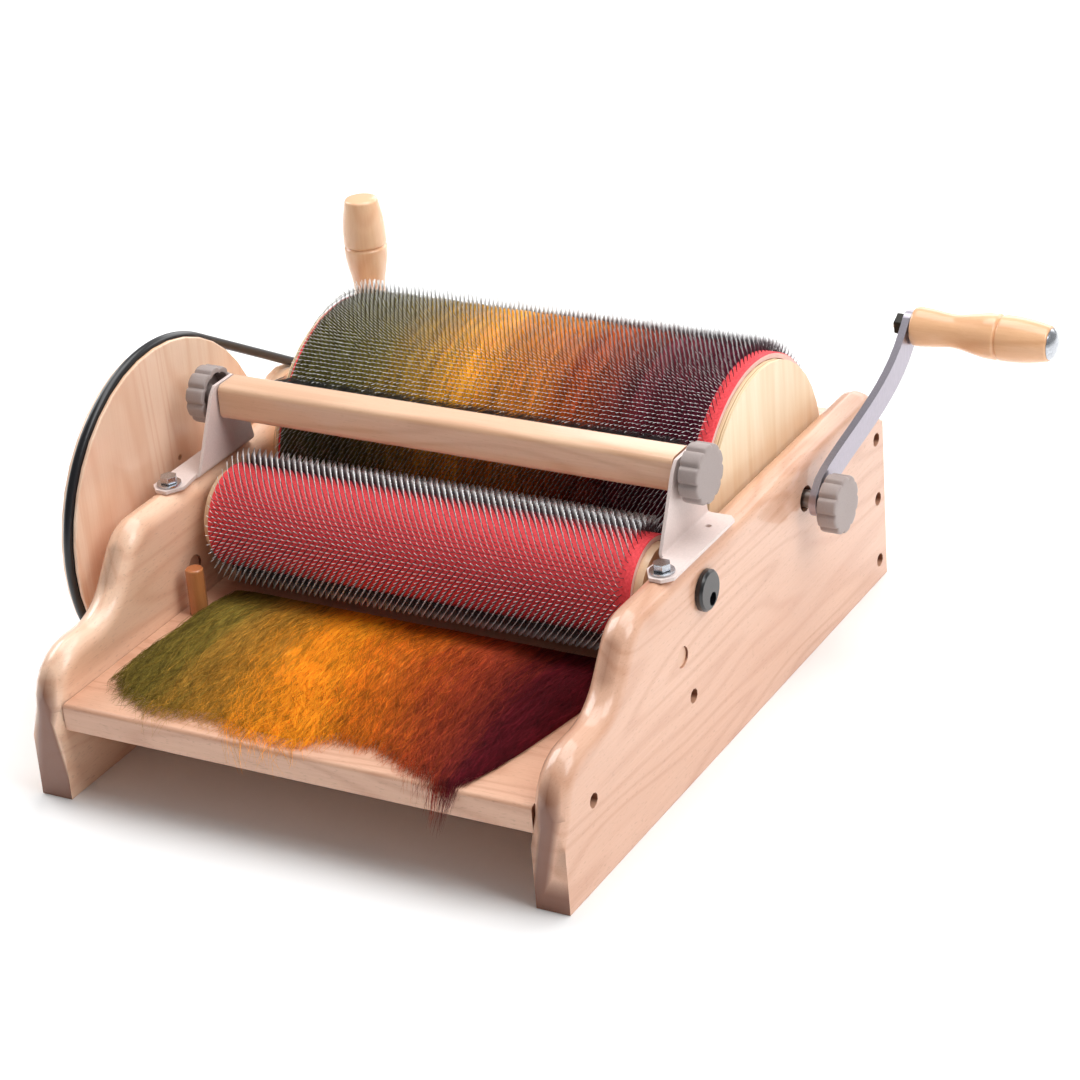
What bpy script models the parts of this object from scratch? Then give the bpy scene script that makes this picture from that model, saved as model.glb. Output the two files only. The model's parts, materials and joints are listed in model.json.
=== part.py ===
"""Hand-cranked drum carder: two profiled side panels carry a small licker-in drum and a large
main drum, both wrapped in card clothing.  The crank turns the main drum, and an elastic belt
turns the licker-in from it.  X runs along the drum axles, Y runs from the feed tray to the
back, and Z is up.  The carder's own frame has X = 0 midway between the panels, Y = 0 at the
front of the panels and Z = 0 on the table; the root empty shifts it so that the origin is the
middle of the bottom of the bounding box."""

import math

import bmesh
import bpy
from mathutils import Matrix, Vector

MM = 0.001
GAP = 0.3 * MM  # left between pieces that touch

# Frame boards
PANEL_SPACING = 330.0 * MM  # clear width between the side panels
PANEL_THICKNESS = 22.4 * MM
PANEL_LENGTH = 461.3 * MM
PANEL_HEIGHT = 142.0 * MM
NOSE_HEIGHT = 96.5 * MM  # the low front part beside the feed tray
NOSE_END = 67.0 * MM  # where the nose turns up to the shoulder
SHOULDER_START = 100.0 * MM  # where the rise meets the level top
NOSE_RADIUS = 36.0 * MM
THROAT_RADIUS = 38.0 * MM
SHOULDER_RADIUS = 30.0 * MM
HEEL_RADIUS = 26.0 * MM
ROUND_OVER = 10.5 * MM
ROUND_OVER_STARTS = 42.0 * MM  # height at which the routed edge begins on the front foot
ROUND_OVER_FULL = 60.0 * MM
TRAY_THICKNESS = 18.0 * MM
TRAY_BOTTOM = 47.5 * MM
TRAY_FRONT = 4.3 * MM
TRAY_BACK = 201.0 * MM
REAR_BOARD_THICKNESS = 18.0 * MM
REAR_BOARD_BACK = 459.0 * MM
REAR_BOARD_TOP = 118.0 * MM
REAR_BOARD_BOTTOM = 2.0 * MM

# Drums
LICKER_AXIS = (191.5 * MM, 112.5 * MM)  # Y and Z of the licker-in's axle
DRUM_AXIS = (337.5 * MM, 112.0 * MM)  # Y and Z of the main axle
DRUM_RADIUS = 86.0 * MM  # bare wooden drum
DRUM_HALF_LENGTH = 160.0 * MM
DRUM_END_THICKNESS = 18.0 * MM
DRUM_CLOTH_RADIUS = 90.0 * MM
DRUM_CLOTH_HALF_WIDTH = 155.0 * MM
DRUM_TEETH = (40, 5, 11.0 * MM)  # columns round the drum, teeth in a column, length
LICKER_RADIUS = 29.5 * MM
LICKER_HALF_LENGTH = 158.0 * MM
LICKER_CLOTH_RADIUS = 33.0 * MM
LICKER_CLOTH_HALF_WIDTH = 152.5 * MM
LICKER_TEETH = (18, 5, 11.0 * MM)

# Axles, bearings and the drive
SHAFT_RADIUS = 6.0 * MM
SHAFT_THREAD_RADIUS = 4.0 * MM
LICKER_SHAFT_RADIUS = 4.0 * MM
BEARING_HOLE_RADIUS = 8.75 * MM
BUSH_CENTRE = (189.5 * MM, 118.8 * MM)  # Y and Z: the licker-in's axle sits off this centre
BUSH_FLANGE_RADIUS = 13.3 * MM
BUSH_BARREL_RADIUS = 12.2 * MM
BUSH_FLANGE_THICKNESS = 4.5 * MM
BELT_PLANE = -206.3 * MM  # X of the belt's middle
BELT_RADIUS = 3.2 * MM
LARGE_PULLEY_PITCH = 109.2 * MM
SMALL_PULLEY_PITCH = 36.4 * MM  # a third of the large one's
SMALL_PULLEY_RIM = 34.8 * MM  # the belt stands proud of the small rim
PULLEY_INNER_FACE = -200.0 * MM
PULLEY_THICKNESS = 12.6 * MM

# Crank
CRANK_RADIUS = 128.0 * MM
CRANK_ANGLE = math.radians(42.6)  # above +Y
ARM_WIDTH = 20.0 * MM
ARM_THICKNESS = 5.0 * MM
ARM_INNER_FACE = 193.5 * MM
ARM_OFFSET = 26.0 * MM  # how far the S-bend carries the handle outwards
HANDLE_LENGTH = 92.0 * MM
# Distance from the arm's end of the handle and radius there
HANDLE_PROFILE = ((0, 12.3), (3, 12.9), (14, 12.1), (27, 10.9), (42, 13.3), (56, 14.9),
                  (58.5, 13.9), (61, 14.9), (74, 14.4), (88, 12.2), (91, 11.5), (92, 10.9))

# Knobs
KNOB_RADIUS = 19.0 * MM
KNOB_THICKNESS = 13.0 * MM
KNOB_LOBES = 10
KNOB_LOBE_DEPTH = 1.5 * MM
KNOB_HUB_RADIUS = 6.5 * MM
KNOB_HUB_PROUD = 1.4 * MM

# Packing brush
BRUSH_AXIS = (213.0 * MM, 184.5 * MM)
BAR_HALF_LENGTH = 163.5 * MM
BAR_BOX = (203.0 * MM, 227.0 * MM, 172.5 * MM, 196.0 * MM)  # front, back, bottom, top
BRACKET_THICKNESS = 2.4 * MM
BRACKET_PLANE = 166.2 * MM  # X of the middle of the upright plate
BRACKET_BOLT = (177.0 * MM, 157.0 * MM)  # X and Y

# Doffer, stored upright in the left panel
DOFFER_PLACE = (-176.2 * MM, 412.7 * MM)
DOFFER_HANDLE_BASE = 155.0 * MM
SPIKE_RADIUS = 2.5 * MM
SPIKE_DEPTH = 90.0 * MM

# Small fittings
SCREW_HEAD_RADIUS = 4.5 * MM
SCREW_SHANK_RADIUS = 2.4 * MM
COUNTERBORE_RADIUS = 4.85 * MM
COUNTERBORE_DEPTH = 7.0 * MM
TRAY_SCREWS = ((37.0 * MM, 56.5 * MM), (168.3 * MM, 56.5 * MM))
REAR_SCREWS = ((450.0 * MM, 14.2 * MM), (450.0 * MM, 60.2 * MM), (450.0 * MM, 104.0 * MM))
PLUG_PLACE = (157.0 * MM, 89.0 * MM)
PLUG_RADIUS = 7.0 * MM
PEG_PLACE = (152.0 * MM, 138.0 * MM)  # X and Y
PEG_RADIUS = 6.0 * MM
PEG_TOP = 98.0 * MM
PEG_DEPTH = 10.0 * MM
WOOL_HALF_WIDTH = 144.5 * MM
WOOL_FRONT = 30.0 * MM
WOOL_BACK = 158.0 * MM
WOOL_DEPTH = 11.0 * MM

HALF_SPACING = PANEL_SPACING / 2
PANEL_OUTER = HALF_SPACING + PANEL_THICKNESS
TRAY_TOP = TRAY_BOTTOM + TRAY_THICKNESS
LEFT_END = PULLEY_INNER_FACE - PULLEY_THICKNESS - 10.4 * MM  # end of the licker-in's axle
HANDLE_START = ARM_INNER_FACE + ARM_OFFSET + ARM_THICKNESS + 1.0 * MM
RIGHT_END = HANDLE_START + HANDLE_LENGTH + 4.5 * MM  # dome of the handle bolt
HANDLE_AXIS = (DRUM_AXIS[0] + CRANK_RADIUS * math.cos(CRANK_ANGLE),
               DRUM_AXIS[1] + CRANK_RADIUS * math.sin(CRANK_ANGLE))


def clear_scene():
    for old in list(bpy.data.objects):
        bpy.data.objects.remove(old, do_unlink=True)


def new_collection(name):
    collection = bpy.data.collections.new(name)
    bpy.context.scene.collection.children.link(collection)
    return collection


def principled(name, color, roughness, metallic=0.0):
    material = bpy.data.materials.new(name)
    material.use_nodes = True
    shader = material.node_tree.nodes["Principled BSDF"]
    shader.inputs["Base Color"].default_value = (*color, 1.0)
    shader.inputs["Roughness"].default_value = roughness
    shader.inputs["Metallic"].default_value = metallic
    return material


def empty_at(name, position, parent):
    """An empty on a joint axis; position is in the carder's frame."""
    empty = bpy.data.objects.new(name, None)
    PARTS.objects.link(empty)
    empty.parent = parent
    empty.location = Vector(position) - carder_position(parent)
    return empty


def carder_position(empty):
    position = Vector()
    while empty is not None and empty.parent is not None:
        position += empty.location
        empty = empty.parent
    return position


def add_piece(name, mesh, material, parent, position, turn=(0, 0, 0)):
    piece = bpy.data.objects.new(name, mesh)
    PARTS.objects.link(piece)
    piece.parent = parent
    piece.location = Vector(position) - carder_position(parent)
    piece.rotation_euler = turn
    if material is not None:
        mesh.materials.clear()
        mesh.materials.append(material.copy())
        mesh.materials[0].name = name
    return piece


def cut(piece, cutter, operation="DIFFERENCE"):
    """Boolean that keeps the cutter out of the model."""
    for collection in list(cutter.users_collection):
        collection.objects.unlink(cutter)
    CUTTERS.objects.link(cutter)
    cutter.hide_render = True
    cutter.display_type = "WIRE"
    boolean = piece.modifiers.new(cutter.name, "BOOLEAN")
    boolean.operation = operation
    boolean.object = cutter
    return boolean


def along_x(side=1):
    """Rotation that lays a turned piece's top end towards +X (side 1) or -X (side -1)."""
    return (0, side * math.pi / 2, 0)


def turned(name, profile, steps, material, parent, position, turn=(0, 0, 0)):
    """Solid of revolution.  The profile lists (radius, height) from the top down its outside;
    one that starts off the axis closes on itself and leaves a bore."""
    mesh = bpy.data.meshes.new(name)
    edges = [(i, i + 1) for i in range(len(profile) - 1)]
    if profile[0][0] > 0:
        edges.append((len(profile) - 1, 0))
    mesh.from_pydata([(radius, 0, height) for radius, height in profile], edges, [])
    piece = add_piece(name, mesh, material, parent, position, turn)
    screw = piece.modifiers.new("turning", "SCREW")
    screw.axis = "Z"
    screw.angle = 2 * math.pi
    screw.steps = steps
    screw.render_steps = steps
    screw.use_merge_vertices = True
    screw.merge_threshold = 0.00005
    screw.use_smooth_shade = True
    return piece


def rod(name, radius, low, high, steps, material, parent, position, turn=(0, 0, 0), chamfer=0.0):
    """Plain cylinder from height low to high, with optional chamfers."""
    profile = [(0, high), (radius - chamfer, high), (radius, high - chamfer),
               (radius, low + chamfer), (radius - chamfer, low), (0, low)]
    if chamfer == 0.0:
        profile = [(0, high), (radius, high), (radius, low), (0, low)]
    return turned(name, profile, steps, material, parent, position, turn)


def ring(name, outer, inner, low, high, steps, material, parent, position, turn=(0, 0, 0)):
    profile = [(outer, high), (outer, low), (inner, low), (inner, high)]
    return turned(name, profile, steps, material, parent, position, turn)


def filleted(corners, arc_steps):
    """Closed outline whose corners (a, b, radius) are replaced by arcs."""
    points = []
    for index, (a, b, radius) in enumerate(corners):
        corner = Vector((a, b))
        if radius == 0:
            points.append(corner)
            continue
        before = (Vector(corners[index - 1][:2]) - corner).normalized()
        after = (Vector(corners[(index + 1) % len(corners)][:2]) - corner).normalized()
        half = before.angle(after) / 2
        middle = (before + after).normalized()
        centre = corner + middle * (radius / math.sin(half))
        start = corner + before * (radius / math.tan(half)) - centre
        sweep = (math.pi - 2 * half) * (1 if before.x * after.y < before.y * after.x else -1)
        for step in range(arc_steps + 1):
            angle = sweep * step / arc_steps
            turn = Vector((start.x * math.cos(angle) - start.y * math.sin(angle),
                           start.x * math.sin(angle) + start.y * math.cos(angle)))
            points.append(centre + turn)
    return points


def slab(name, outline, thickness, material, parent, position, turn=(0, 0, 0)):
    """Flat outline in the piece's XY plane, given thickness along its Z."""
    curve = bpy.data.curves.new(name, "CURVE")
    curve.dimensions = "2D"
    curve.fill_mode = "BOTH"
    curve.extrude = thickness / 2
    spline = curve.splines.new("POLY")
    spline.points.add(len(outline) - 1)
    for point, (a, b) in zip(spline.points, outline):
        point.co = (a, b, 0, 1)
    spline.use_cyclic_u = True
    source = bpy.data.objects.new(name + "_outline", curve)
    CUTTERS.objects.link(source)
    piece = add_piece(name, meshed(source), material, parent, position, turn)
    return piece


def meshed(source):
    """A curve object's mesh, its caps welded on; the curve is removed."""
    bpy.context.view_layer.update()
    evaluated = source.evaluated_get(bpy.context.evaluated_depsgraph_get())
    mesh = bpy.data.meshes.new_from_object(evaluated)
    shape = bmesh.new()
    shape.from_mesh(mesh)
    bmesh.ops.remove_doubles(shape, verts=shape.verts, dist=0.000001)
    bmesh.ops.recalc_face_normals(shape, faces=shape.faces)
    shape.to_mesh(mesh)
    shape.free()
    bpy.data.objects.remove(source)
    return mesh


# Turns a slab drawn as (Y, Z) so that its thickness lies along X
UPRIGHT = (math.pi / 2, 0, math.pi / 2)


def panel_outline():
    corners = ((0, 0, 0), (0, ROUND_OVER_STARTS, 0), (0, ROUND_OVER_FULL, 0),
               (0, NOSE_HEIGHT, NOSE_RADIUS),
               (NOSE_END, NOSE_HEIGHT, THROAT_RADIUS),
               (SHOULDER_START, PANEL_HEIGHT, SHOULDER_RADIUS),
               (PANEL_LENGTH, PANEL_HEIGHT, HEEL_RADIUS),
               (PANEL_LENGTH, PANEL_HEIGHT - HEEL_RADIUS - 3 * MM, 0), (PANEL_LENGTH, 0, 0))
    return filleted(corners, 6)


def round_over_at(point):
    """Radius of the routed edge: none on the foot, the back and the bottom."""
    if point.y <= ROUND_OVER_STARTS + MM:
        return 0.0
    if point.x >= PANEL_LENGTH - 0.1 * MM and point.y < PANEL_HEIGHT - HEEL_RADIUS - MM:
        return 0.0
    return ROUND_OVER


def routed_panel(name, material, parent, position):
    """Board whose outline carries a quarter-round on both faces that runs out at the foot.
    It is a loft round the outline between sections of different radius."""
    outline = panel_outline()
    arc_steps = 3
    shape = bmesh.new()
    rows = []
    for index, point in enumerate(outline):
        forward = outline[(index + 1) % len(outline)] - point
        backward = point - outline[index - 1]
        tangent = (forward.normalized() + backward.normalized()).normalized()
        inward = Vector((tangent.y, -tangent.x))
        inward /= max(inward.dot(Vector((forward.y, -forward.x)).normalized()), 0.5)
        radius = round_over_at(point)
        section = []
        for side in (1, -1):
            quarter = []
            for step in range(arc_steps + 1):
                angle = math.pi / 2 * step / arc_steps
                across = side * (PANEL_THICKNESS / 2 - radius * (1 - math.cos(angle)))
                depth = radius * (1 - math.sin(angle))
                place = point + inward * depth
                quarter.append((across, place.x, place.y))
            section += quarter if side == 1 else quarter[::-1]
        rows.append([shape.verts.new(place) for place in section])
    for row, following in zip(rows, rows[1:] + rows[:1]):
        for i in range(len(row) - 1):
            shape.faces.new((row[i], row[i + 1], following[i + 1], following[i]))
    shape.faces.new([row[0] for row in rows])
    shape.faces.new([row[-1] for row in reversed(rows)])
    bmesh.ops.remove_doubles(shape, verts=shape.verts, dist=0.00001)
    bmesh.ops.recalc_face_normals(shape, faces=shape.faces)
    mesh = bpy.data.meshes.new(name)
    shape.to_mesh(mesh)
    shape.free()
    return add_piece(name, mesh, material, parent, position)


def screw_hole(name, side, place, parent, depth):
    """Counterbore and clearance hole through a panel, carried on as a pilot hole."""
    outside = PANEL_OUTER + MM
    seat = PANEL_OUTER - COUNTERBORE_DEPTH
    shank = SCREW_SHANK_RADIUS + GAP
    profile = [(0, outside), (COUNTERBORE_RADIUS, outside), (COUNTERBORE_RADIUS, seat),
               (shank, seat), (shank, HALF_SPACING - depth), (0, HALF_SPACING - depth)]
    return turned(name, profile, 10, None, parent, (0, *place), along_x(side))


def side_panel(name, side, material, parent):
    panel = routed_panel(name, material, parent, (side * (HALF_SPACING + PANEL_THICKNESS / 2), 0, 0))
    for number, place in enumerate(TRAY_SCREWS + REAR_SCREWS):
        cut(panel, screw_hole(f"{name}_screw_hole_{number}", side, place, parent, 2 * MM))
    holes = (("bearing_hole", BEARING_HOLE_RADIUS, DRUM_AXIS, 16),
             ("bush_hole", BUSH_BARREL_RADIUS + GAP, BUSH_CENTRE, 20),
             ("plug_hole", PLUG_RADIUS, PLUG_PLACE, 12))
    for hole, radius, place, steps in holes:
        cut(panel, rod(f"{name}_{hole}", radius, HALF_SPACING - MM, PANEL_OUTER + MM, steps,
                       None, parent, (0, *place), along_x(side)))
    bolt_hole = rod(f"{name}_bolt_hole", 3.3 * MM, PANEL_HEIGHT - 32 * MM, PANEL_HEIGHT + MM, 8,
                    None, parent, (side * BRACKET_BOLT[0], BRACKET_BOLT[1], 0))
    cut(panel, bolt_hole)
    return panel


def frame_boards(parent):
    left = side_panel("side_panel_left", -1, BEECH, parent)
    side_panel("side_panel_right", 1, BEECH, parent)
    hole_bottom = PANEL_HEIGHT - SPIKE_DEPTH - 4 * MM
    doffer_hole = rod("doffer_hole", SPIKE_RADIUS + 2 * GAP, hole_bottom, PANEL_HEIGHT + MM, 8,
                      None, parent, (*DOFFER_PLACE, 0))
    cut(left, doffer_hole)
    board_width = PANEL_SPACING - 2 * GAP
    tray_corners = ((TRAY_FRONT, TRAY_BOTTOM, MM), (TRAY_BACK, TRAY_BOTTOM, 0),
                    (TRAY_BACK, TRAY_TOP, 0), (TRAY_FRONT, TRAY_TOP, 3 * MM))
    tray = slab("feed_tray", filleted(tray_corners, 3), board_width, BEECH, parent, (0, 0, 0), UPRIGHT)
    back_corners = ((REAR_BOARD_BACK - REAR_BOARD_THICKNESS, REAR_BOARD_BOTTOM, 0),
                    (REAR_BOARD_BACK, REAR_BOARD_BOTTOM, 0), (REAR_BOARD_BACK, REAR_BOARD_TOP, 2 * MM),
                    (REAR_BOARD_BACK - REAR_BOARD_THICKNESS, REAR_BOARD_TOP, 2 * MM))
    back = slab("rear_board", filleted(back_corners, 3), board_width, BEECH, parent, (0, 0, 0), UPRIGHT)
    for side in (-1, 1):
        for board, places, label in ((tray, TRAY_SCREWS, "tray"), (back, REAR_SCREWS, "rear")):
            for place in places:
                number = places.index(place) + 1 + (len(places) if side == 1 else 0)
                cut(board, screw_hole(f"{label}_pilot_{number}", side, place, parent, 40 * MM))
                wood_screw(f"{label}_screw_{number}", side, place, parent)
        peg_hole = rod(f"peg_hole_{side}", PEG_RADIUS + GAP, TRAY_TOP - PEG_DEPTH - GAP,
                       TRAY_TOP + MM, 10, None, parent, (side * PEG_PLACE[0], PEG_PLACE[1], 0))
        cut(tray, peg_hole)


def wood_screw(name, side, place, parent):
    """Pan-head screw seated at the bottom of its counterbore."""
    seat = PANEL_OUTER - COUNTERBORE_DEPTH + GAP
    tip = HALF_SPACING - 38 * MM
    profile = [(0, seat + 3 * MM), (3.2 * MM, seat + 2.8 * MM), (SCREW_HEAD_RADIUS, seat + 1.4 * MM),
               (SCREW_HEAD_RADIUS, seat), (SCREW_SHANK_RADIUS, seat),
               (SCREW_SHANK_RADIUS, tip + 5 * MM), (0, tip)]
    turned(name, profile, 8, BLACK_STEEL, parent, (0, *place), along_x(side))


def panel_fittings(parent):
    for side, label in ((-1, "left"), (1, "right")):
        ring(f"main_bearing_{label}", BEARING_HOLE_RADIUS - GAP, SHAFT_RADIUS + 0.35 * MM,
             HALF_SPACING + GAP, PANEL_OUTER - 6.5 * MM, 16, BEARING, parent, (0, *DRUM_AXIS),
             along_x(side))
        rod(f"panel_plug_{label}", PLUG_RADIUS - GAP, HALF_SPACING + 1.5 * MM,
            PANEL_OUTER - 1.2 * MM, 12, BEECH, parent, (0, *PLUG_PLACE), along_x(side))
        rod(f"guide_peg_{label}", PEG_RADIUS, TRAY_TOP - PEG_DEPTH, PEG_TOP, 10, DOWEL, parent,
            (side * PEG_PLACE[0], PEG_PLACE[1], 0), (0, 0, 0), 0.8 * MM)


def tray_wool(parent):
    corners = ((WOOL_FRONT, TRAY_TOP + GAP, 0), (WOOL_BACK, TRAY_TOP + GAP, 0),
               (WOOL_BACK, TRAY_TOP + WOOL_DEPTH, 4 * MM), (WOOL_FRONT + 12 * MM, TRAY_TOP + 7 * MM, 6 * MM))
    slab("tray_wool", filleted(corners, 3), 2 * WOOL_HALF_WIDTH, WOOL, parent, (0, 0, 0), UPRIGHT)


def card_cloth(name, radius, bare_radius, half_width, teeth, lean, material, parent, position):
    """Card clothing: a flexible foundation wrapped round the drum, set with wire teeth.  Each
    cell of the wrapped grid is inset and drawn out into one leaning tooth, and alternate
    columns are staggered."""
    columns, in_column, length = teeth
    shape = bmesh.new()
    bmesh.ops.create_grid(shape, x_segments=in_column, y_segments=columns, size=1.0)
    for vert in shape.verts:
        angle = math.pi * vert.co.y
        vert.co = (vert.co.x * half_width, radius * math.cos(angle), radius * math.sin(angle))
    bmesh.ops.remove_doubles(shape, verts=shape.verts, dist=0.00001)
    bmesh.ops.recalc_face_normals(shape, faces=shape.faces)
    outside = list(shape.faces)
    if outside[0].normal.dot(outside[0].calc_center_median() * Vector((0, 1, 1))) < 0:
        bmesh.ops.reverse_faces(shape, faces=outside)
    bmesh.ops.solidify(shape, geom=outside, thickness=radius - bare_radius - GAP)
    middle = (radius + bare_radius) / 2
    cells = [face for face in shape.faces
             if face.calc_center_median().yz.length > middle and abs(face.normal.x) < 0.5]
    pitch = 2 * half_width / in_column
    bmesh.ops.inset_individual(shape, faces=cells, thickness=0.36 * pitch, depth=0.0)
    stagger = 0.2 * pitch
    for face in cells:
        middle = face.calc_center_median()
        column = round(columns * math.atan2(middle.z, middle.y) / (2 * math.pi) - 0.5)
        shift = stagger if column % 2 else -stagger
        squeeze_tooth_foot(face, middle, shift)
    tips = bmesh.ops.poke(shape, faces=cells, offset=0.0)["verts"]
    for tip in tips:
        outward = Vector((0, tip.co.y, tip.co.z)).normalized()
        sideways = Vector((0, -outward.z, outward.y)) * lean
        rise = outward * (radius + length - 0.6 * MM) + sideways
        tip.co = (tip.co.x, rise.y, rise.z)
    bmesh.ops.recalc_face_normals(shape, faces=shape.faces)
    mesh = bpy.data.meshes.new(name)
    shape.to_mesh(mesh)
    shape.free()
    return add_piece(name, mesh, material, parent, position)


def squeeze_tooth_foot(face, middle, shift):
    """Draws an inset cell in to a narrow foot, and moves it along the drum by shift."""
    for vert in face.verts:
        offset = vert.co - middle
        offset.x = math.copysign(1.3 * MM, offset.x)
        across = Vector((0, offset.y, offset.z))
        across.length = 1.3 * MM
        vert.co = middle + Vector((offset.x + shift, across.y, across.z))


def main_drum(parent):
    bore = SHAFT_RADIUS + 0.4 * MM
    core_end = DRUM_HALF_LENGTH - DRUM_END_THICKNESS - GAP
    ring("main_drum_core", DRUM_RADIUS, bore, -core_end, core_end, 36, PLYWOOD, parent,
         (0, *DRUM_AXIS), along_x())
    for side, label in ((-1, "left"), (1, "right")):
        ring(f"drum_end_{label}", DRUM_RADIUS, bore, core_end + GAP, DRUM_HALF_LENGTH, 36,
             PLYWOOD, parent, (0, *DRUM_AXIS), along_x(side))
    card_cloth("main_card_cloth", DRUM_CLOTH_RADIUS, DRUM_RADIUS + GAP, DRUM_CLOTH_HALF_WIDTH,
               DRUM_TEETH, 3 * MM, CARD_CLOTH, parent, (0, *DRUM_AXIS))


def main_axle(parent):
    shoulder = ARM_INNER_FACE - GAP
    pulley_end = PULLEY_INNER_FACE - PULLEY_THICKNESS
    profile = [(0, ARM_INNER_FACE + 17 * MM), (SHAFT_THREAD_RADIUS, ARM_INNER_FACE + 17 * MM),
               (SHAFT_THREAD_RADIUS, shoulder), (SHAFT_RADIUS, shoulder),
               (SHAFT_RADIUS, pulley_end), (SHAFT_THREAD_RADIUS, pulley_end),
               (SHAFT_THREAD_RADIUS, pulley_end - 9 * MM), (0, pulley_end - 9 * MM)]
    turned("main_shaft", profile, 16, STEEL, parent, (0, *DRUM_AXIS), along_x())
    inner = PULLEY_INNER_FACE + MM
    outer = pulley_end + MM
    profile = [(SMALL_PULLEY_RIM, inner),
               *belt_groove(SMALL_PULLEY_RIM, SMALL_PULLEY_PITCH), (SMALL_PULLEY_RIM, outer),
               (SHAFT_RADIUS + 0.4 * MM, outer), (SHAFT_RADIUS + 0.4 * MM, inner)]
    turned("drive_pulley", profile, 20, BEECH, parent, (0, *DRUM_AXIS), along_x())
    hex_nut("drive_pulley_nut", pulley_end - 6.5 * MM - GAP, 6.5 * MM, 6.5 * MM,
            SHAFT_THREAD_RADIUS, ZINC, parent, DRUM_AXIS)


def belt_groove(rim, pitch):
    """Seat for the belt in a rim, listed from +X to -X."""
    bottom = pitch - BELT_RADIUS - 0.6 * MM
    return [(rim, BELT_PLANE + 3.8 * MM), (bottom, BELT_PLANE + 2.0 * MM),
            (bottom, BELT_PLANE - 2.0 * MM), (rim, BELT_PLANE - 3.8 * MM)]


def hex_nut(name, low, height, half_flats, thread, material, parent, axis):
    """Hexagon nut on an axle along X, from X = low to low + height."""
    corner = half_flats / math.cos(math.pi / 6)
    nut = rod(name, corner, low, low + height, 6, material, parent, (0, *axis), along_x())
    bore = rod(f"{name}_bore", thread + GAP, low - MM, low + height + MM, 12, None, parent,
               (0, *axis), along_x())
    cut(nut, bore)
    return nut


def crank(parent):
    """Flat steel arm with an S-bend, its ends rounded, in the plane of the axle and handle."""
    steps = 12
    start, end = 11 * MM, CRANK_RADIUS - 12 * MM
    middle_line = [(-12 * MM, 0.0)]
    for step in range(steps + 1):
        part = step / steps
        bend = math.sin(math.pi / 2 * part) ** 1.3
        middle_line.append((start + (end - start) * part, ARM_OFFSET * bend))
    middle_line.append((CRANK_RADIUS + 12 * MM, ARM_OFFSET))
    inner_side = [Vector((along, out)) for along, out in middle_line]
    outer_side = [Vector((along, out + ARM_THICKNESS)) for along, out in reversed(middle_line)]
    arm = slab("crank_arm", inner_side + outer_side, ARM_WIDTH + 2 * MM, STEEL, parent,
               (ARM_INNER_FACE, *DRUM_AXIS))
    arm.rotation_mode = "QUATERNION"
    along = Vector((0, math.cos(CRANK_ANGLE), math.sin(CRANK_ANGLE)))
    out = Vector((1, 0, 0))
    arm.rotation_quaternion = matrix_of(along, out).to_quaternion()
    half = ARM_WIDTH / 2
    ends = ((-half, -half, half), (CRANK_RADIUS + half, -half, half),
            (CRANK_RADIUS + half, half, half), (-half, half, half))
    stadium = slab("crank_arm_outline", filleted(ends, 6), 0.1, None, parent, (ARM_INNER_FACE, *DRUM_AXIS))
    stadium.rotation_mode = "QUATERNION"
    stadium.rotation_quaternion = matrix_of(along, along.cross(out)).to_quaternion()
    cut(arm, stadium, "INTERSECT")
    for name, axis in (("shaft_hole", DRUM_AXIS), ("handle_hole", HANDLE_AXIS)):
        cut(arm, rod(f"crank_{name}", SHAFT_THREAD_RADIUS + GAP, 0.18, 0.24, 12, None, parent,
                     (0, *axis), along_x()))
    ring("crank_washer", 9 * MM, SHAFT_THREAD_RADIUS + GAP, ARM_INNER_FACE + ARM_THICKNESS + GAP,
         ARM_INNER_FACE + ARM_THICKNESS + 2.6 * MM, 12, ZINC, parent, (0, *DRUM_AXIS), along_x())


def matrix_of(first, second):
    """Rotation whose X axis is first and whose Y axis is second."""
    third = first.cross(second)
    return Matrix((first, second, third)).transposed()


def handle_bolt(parent):
    arm_outer = ARM_INNER_FACE + ARM_OFFSET + ARM_THICKNESS
    head = HANDLE_START + HANDLE_LENGTH + GAP
    profile = [(0, RIGHT_END), (5 * MM, RIGHT_END - 0.7 * MM), (8.6 * MM, RIGHT_END - 2.3 * MM),
               (10.3 * MM, head), (3.5 * MM, head), (3.5 * MM, arm_outer - ARM_THICKNESS - 8 * MM),
               (0, arm_outer - ARM_THICKNESS - 8 * MM)]
    turned("handle_bolt", profile, 14, ZINC, parent, (0, *HANDLE_AXIS), along_x())
    hex_nut("handle_nut", arm_outer - ARM_THICKNESS - GAP - 6 * MM, 6 * MM, 6.5 * MM,
            3.5 * MM, BLACK_STEEL, parent, HANDLE_AXIS)


def handles(handle_parent, doffer_parent):
    """The crank's handle and the doffer's are turned alike: waisted, with one groove."""
    bore = 3.9 * MM
    points = [(radius * MM, along * MM) for along, radius in reversed(HANDLE_PROFILE)]
    points += [(bore, 0.0), (bore, HANDLE_LENGTH)]
    turned("crank_handle", points, 14, BEECH, handle_parent, (HANDLE_START, *HANDLE_AXIS), along_x())
    dome = [(0, HANDLE_LENGTH - 0.3 * MM), (6 * MM, HANDLE_LENGTH - 0.5 * MM)]
    points = dome + [(radius * MM, along * MM) for along, radius in reversed(HANDLE_PROFILE[:-1])]
    points += [(0, 0)]
    turned("doffer_handle", points, 14, BEECH, doffer_parent, (*DOFFER_PLACE, DOFFER_HANDLE_BASE))
    collar = PANEL_HEIGHT + GAP
    tip = PANEL_HEIGHT - SPIKE_DEPTH
    top = DOFFER_HANDLE_BASE - GAP
    profile = [(0, top), (6 * MM, top), (6.5 * MM, collar), (SPIKE_RADIUS, collar),
               (SPIKE_RADIUS, tip + 12 * MM), (0, tip)]
    turned("doffer_spike", profile, 10, STEEL, doffer_parent, (*DOFFER_PLACE, 0))


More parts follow.
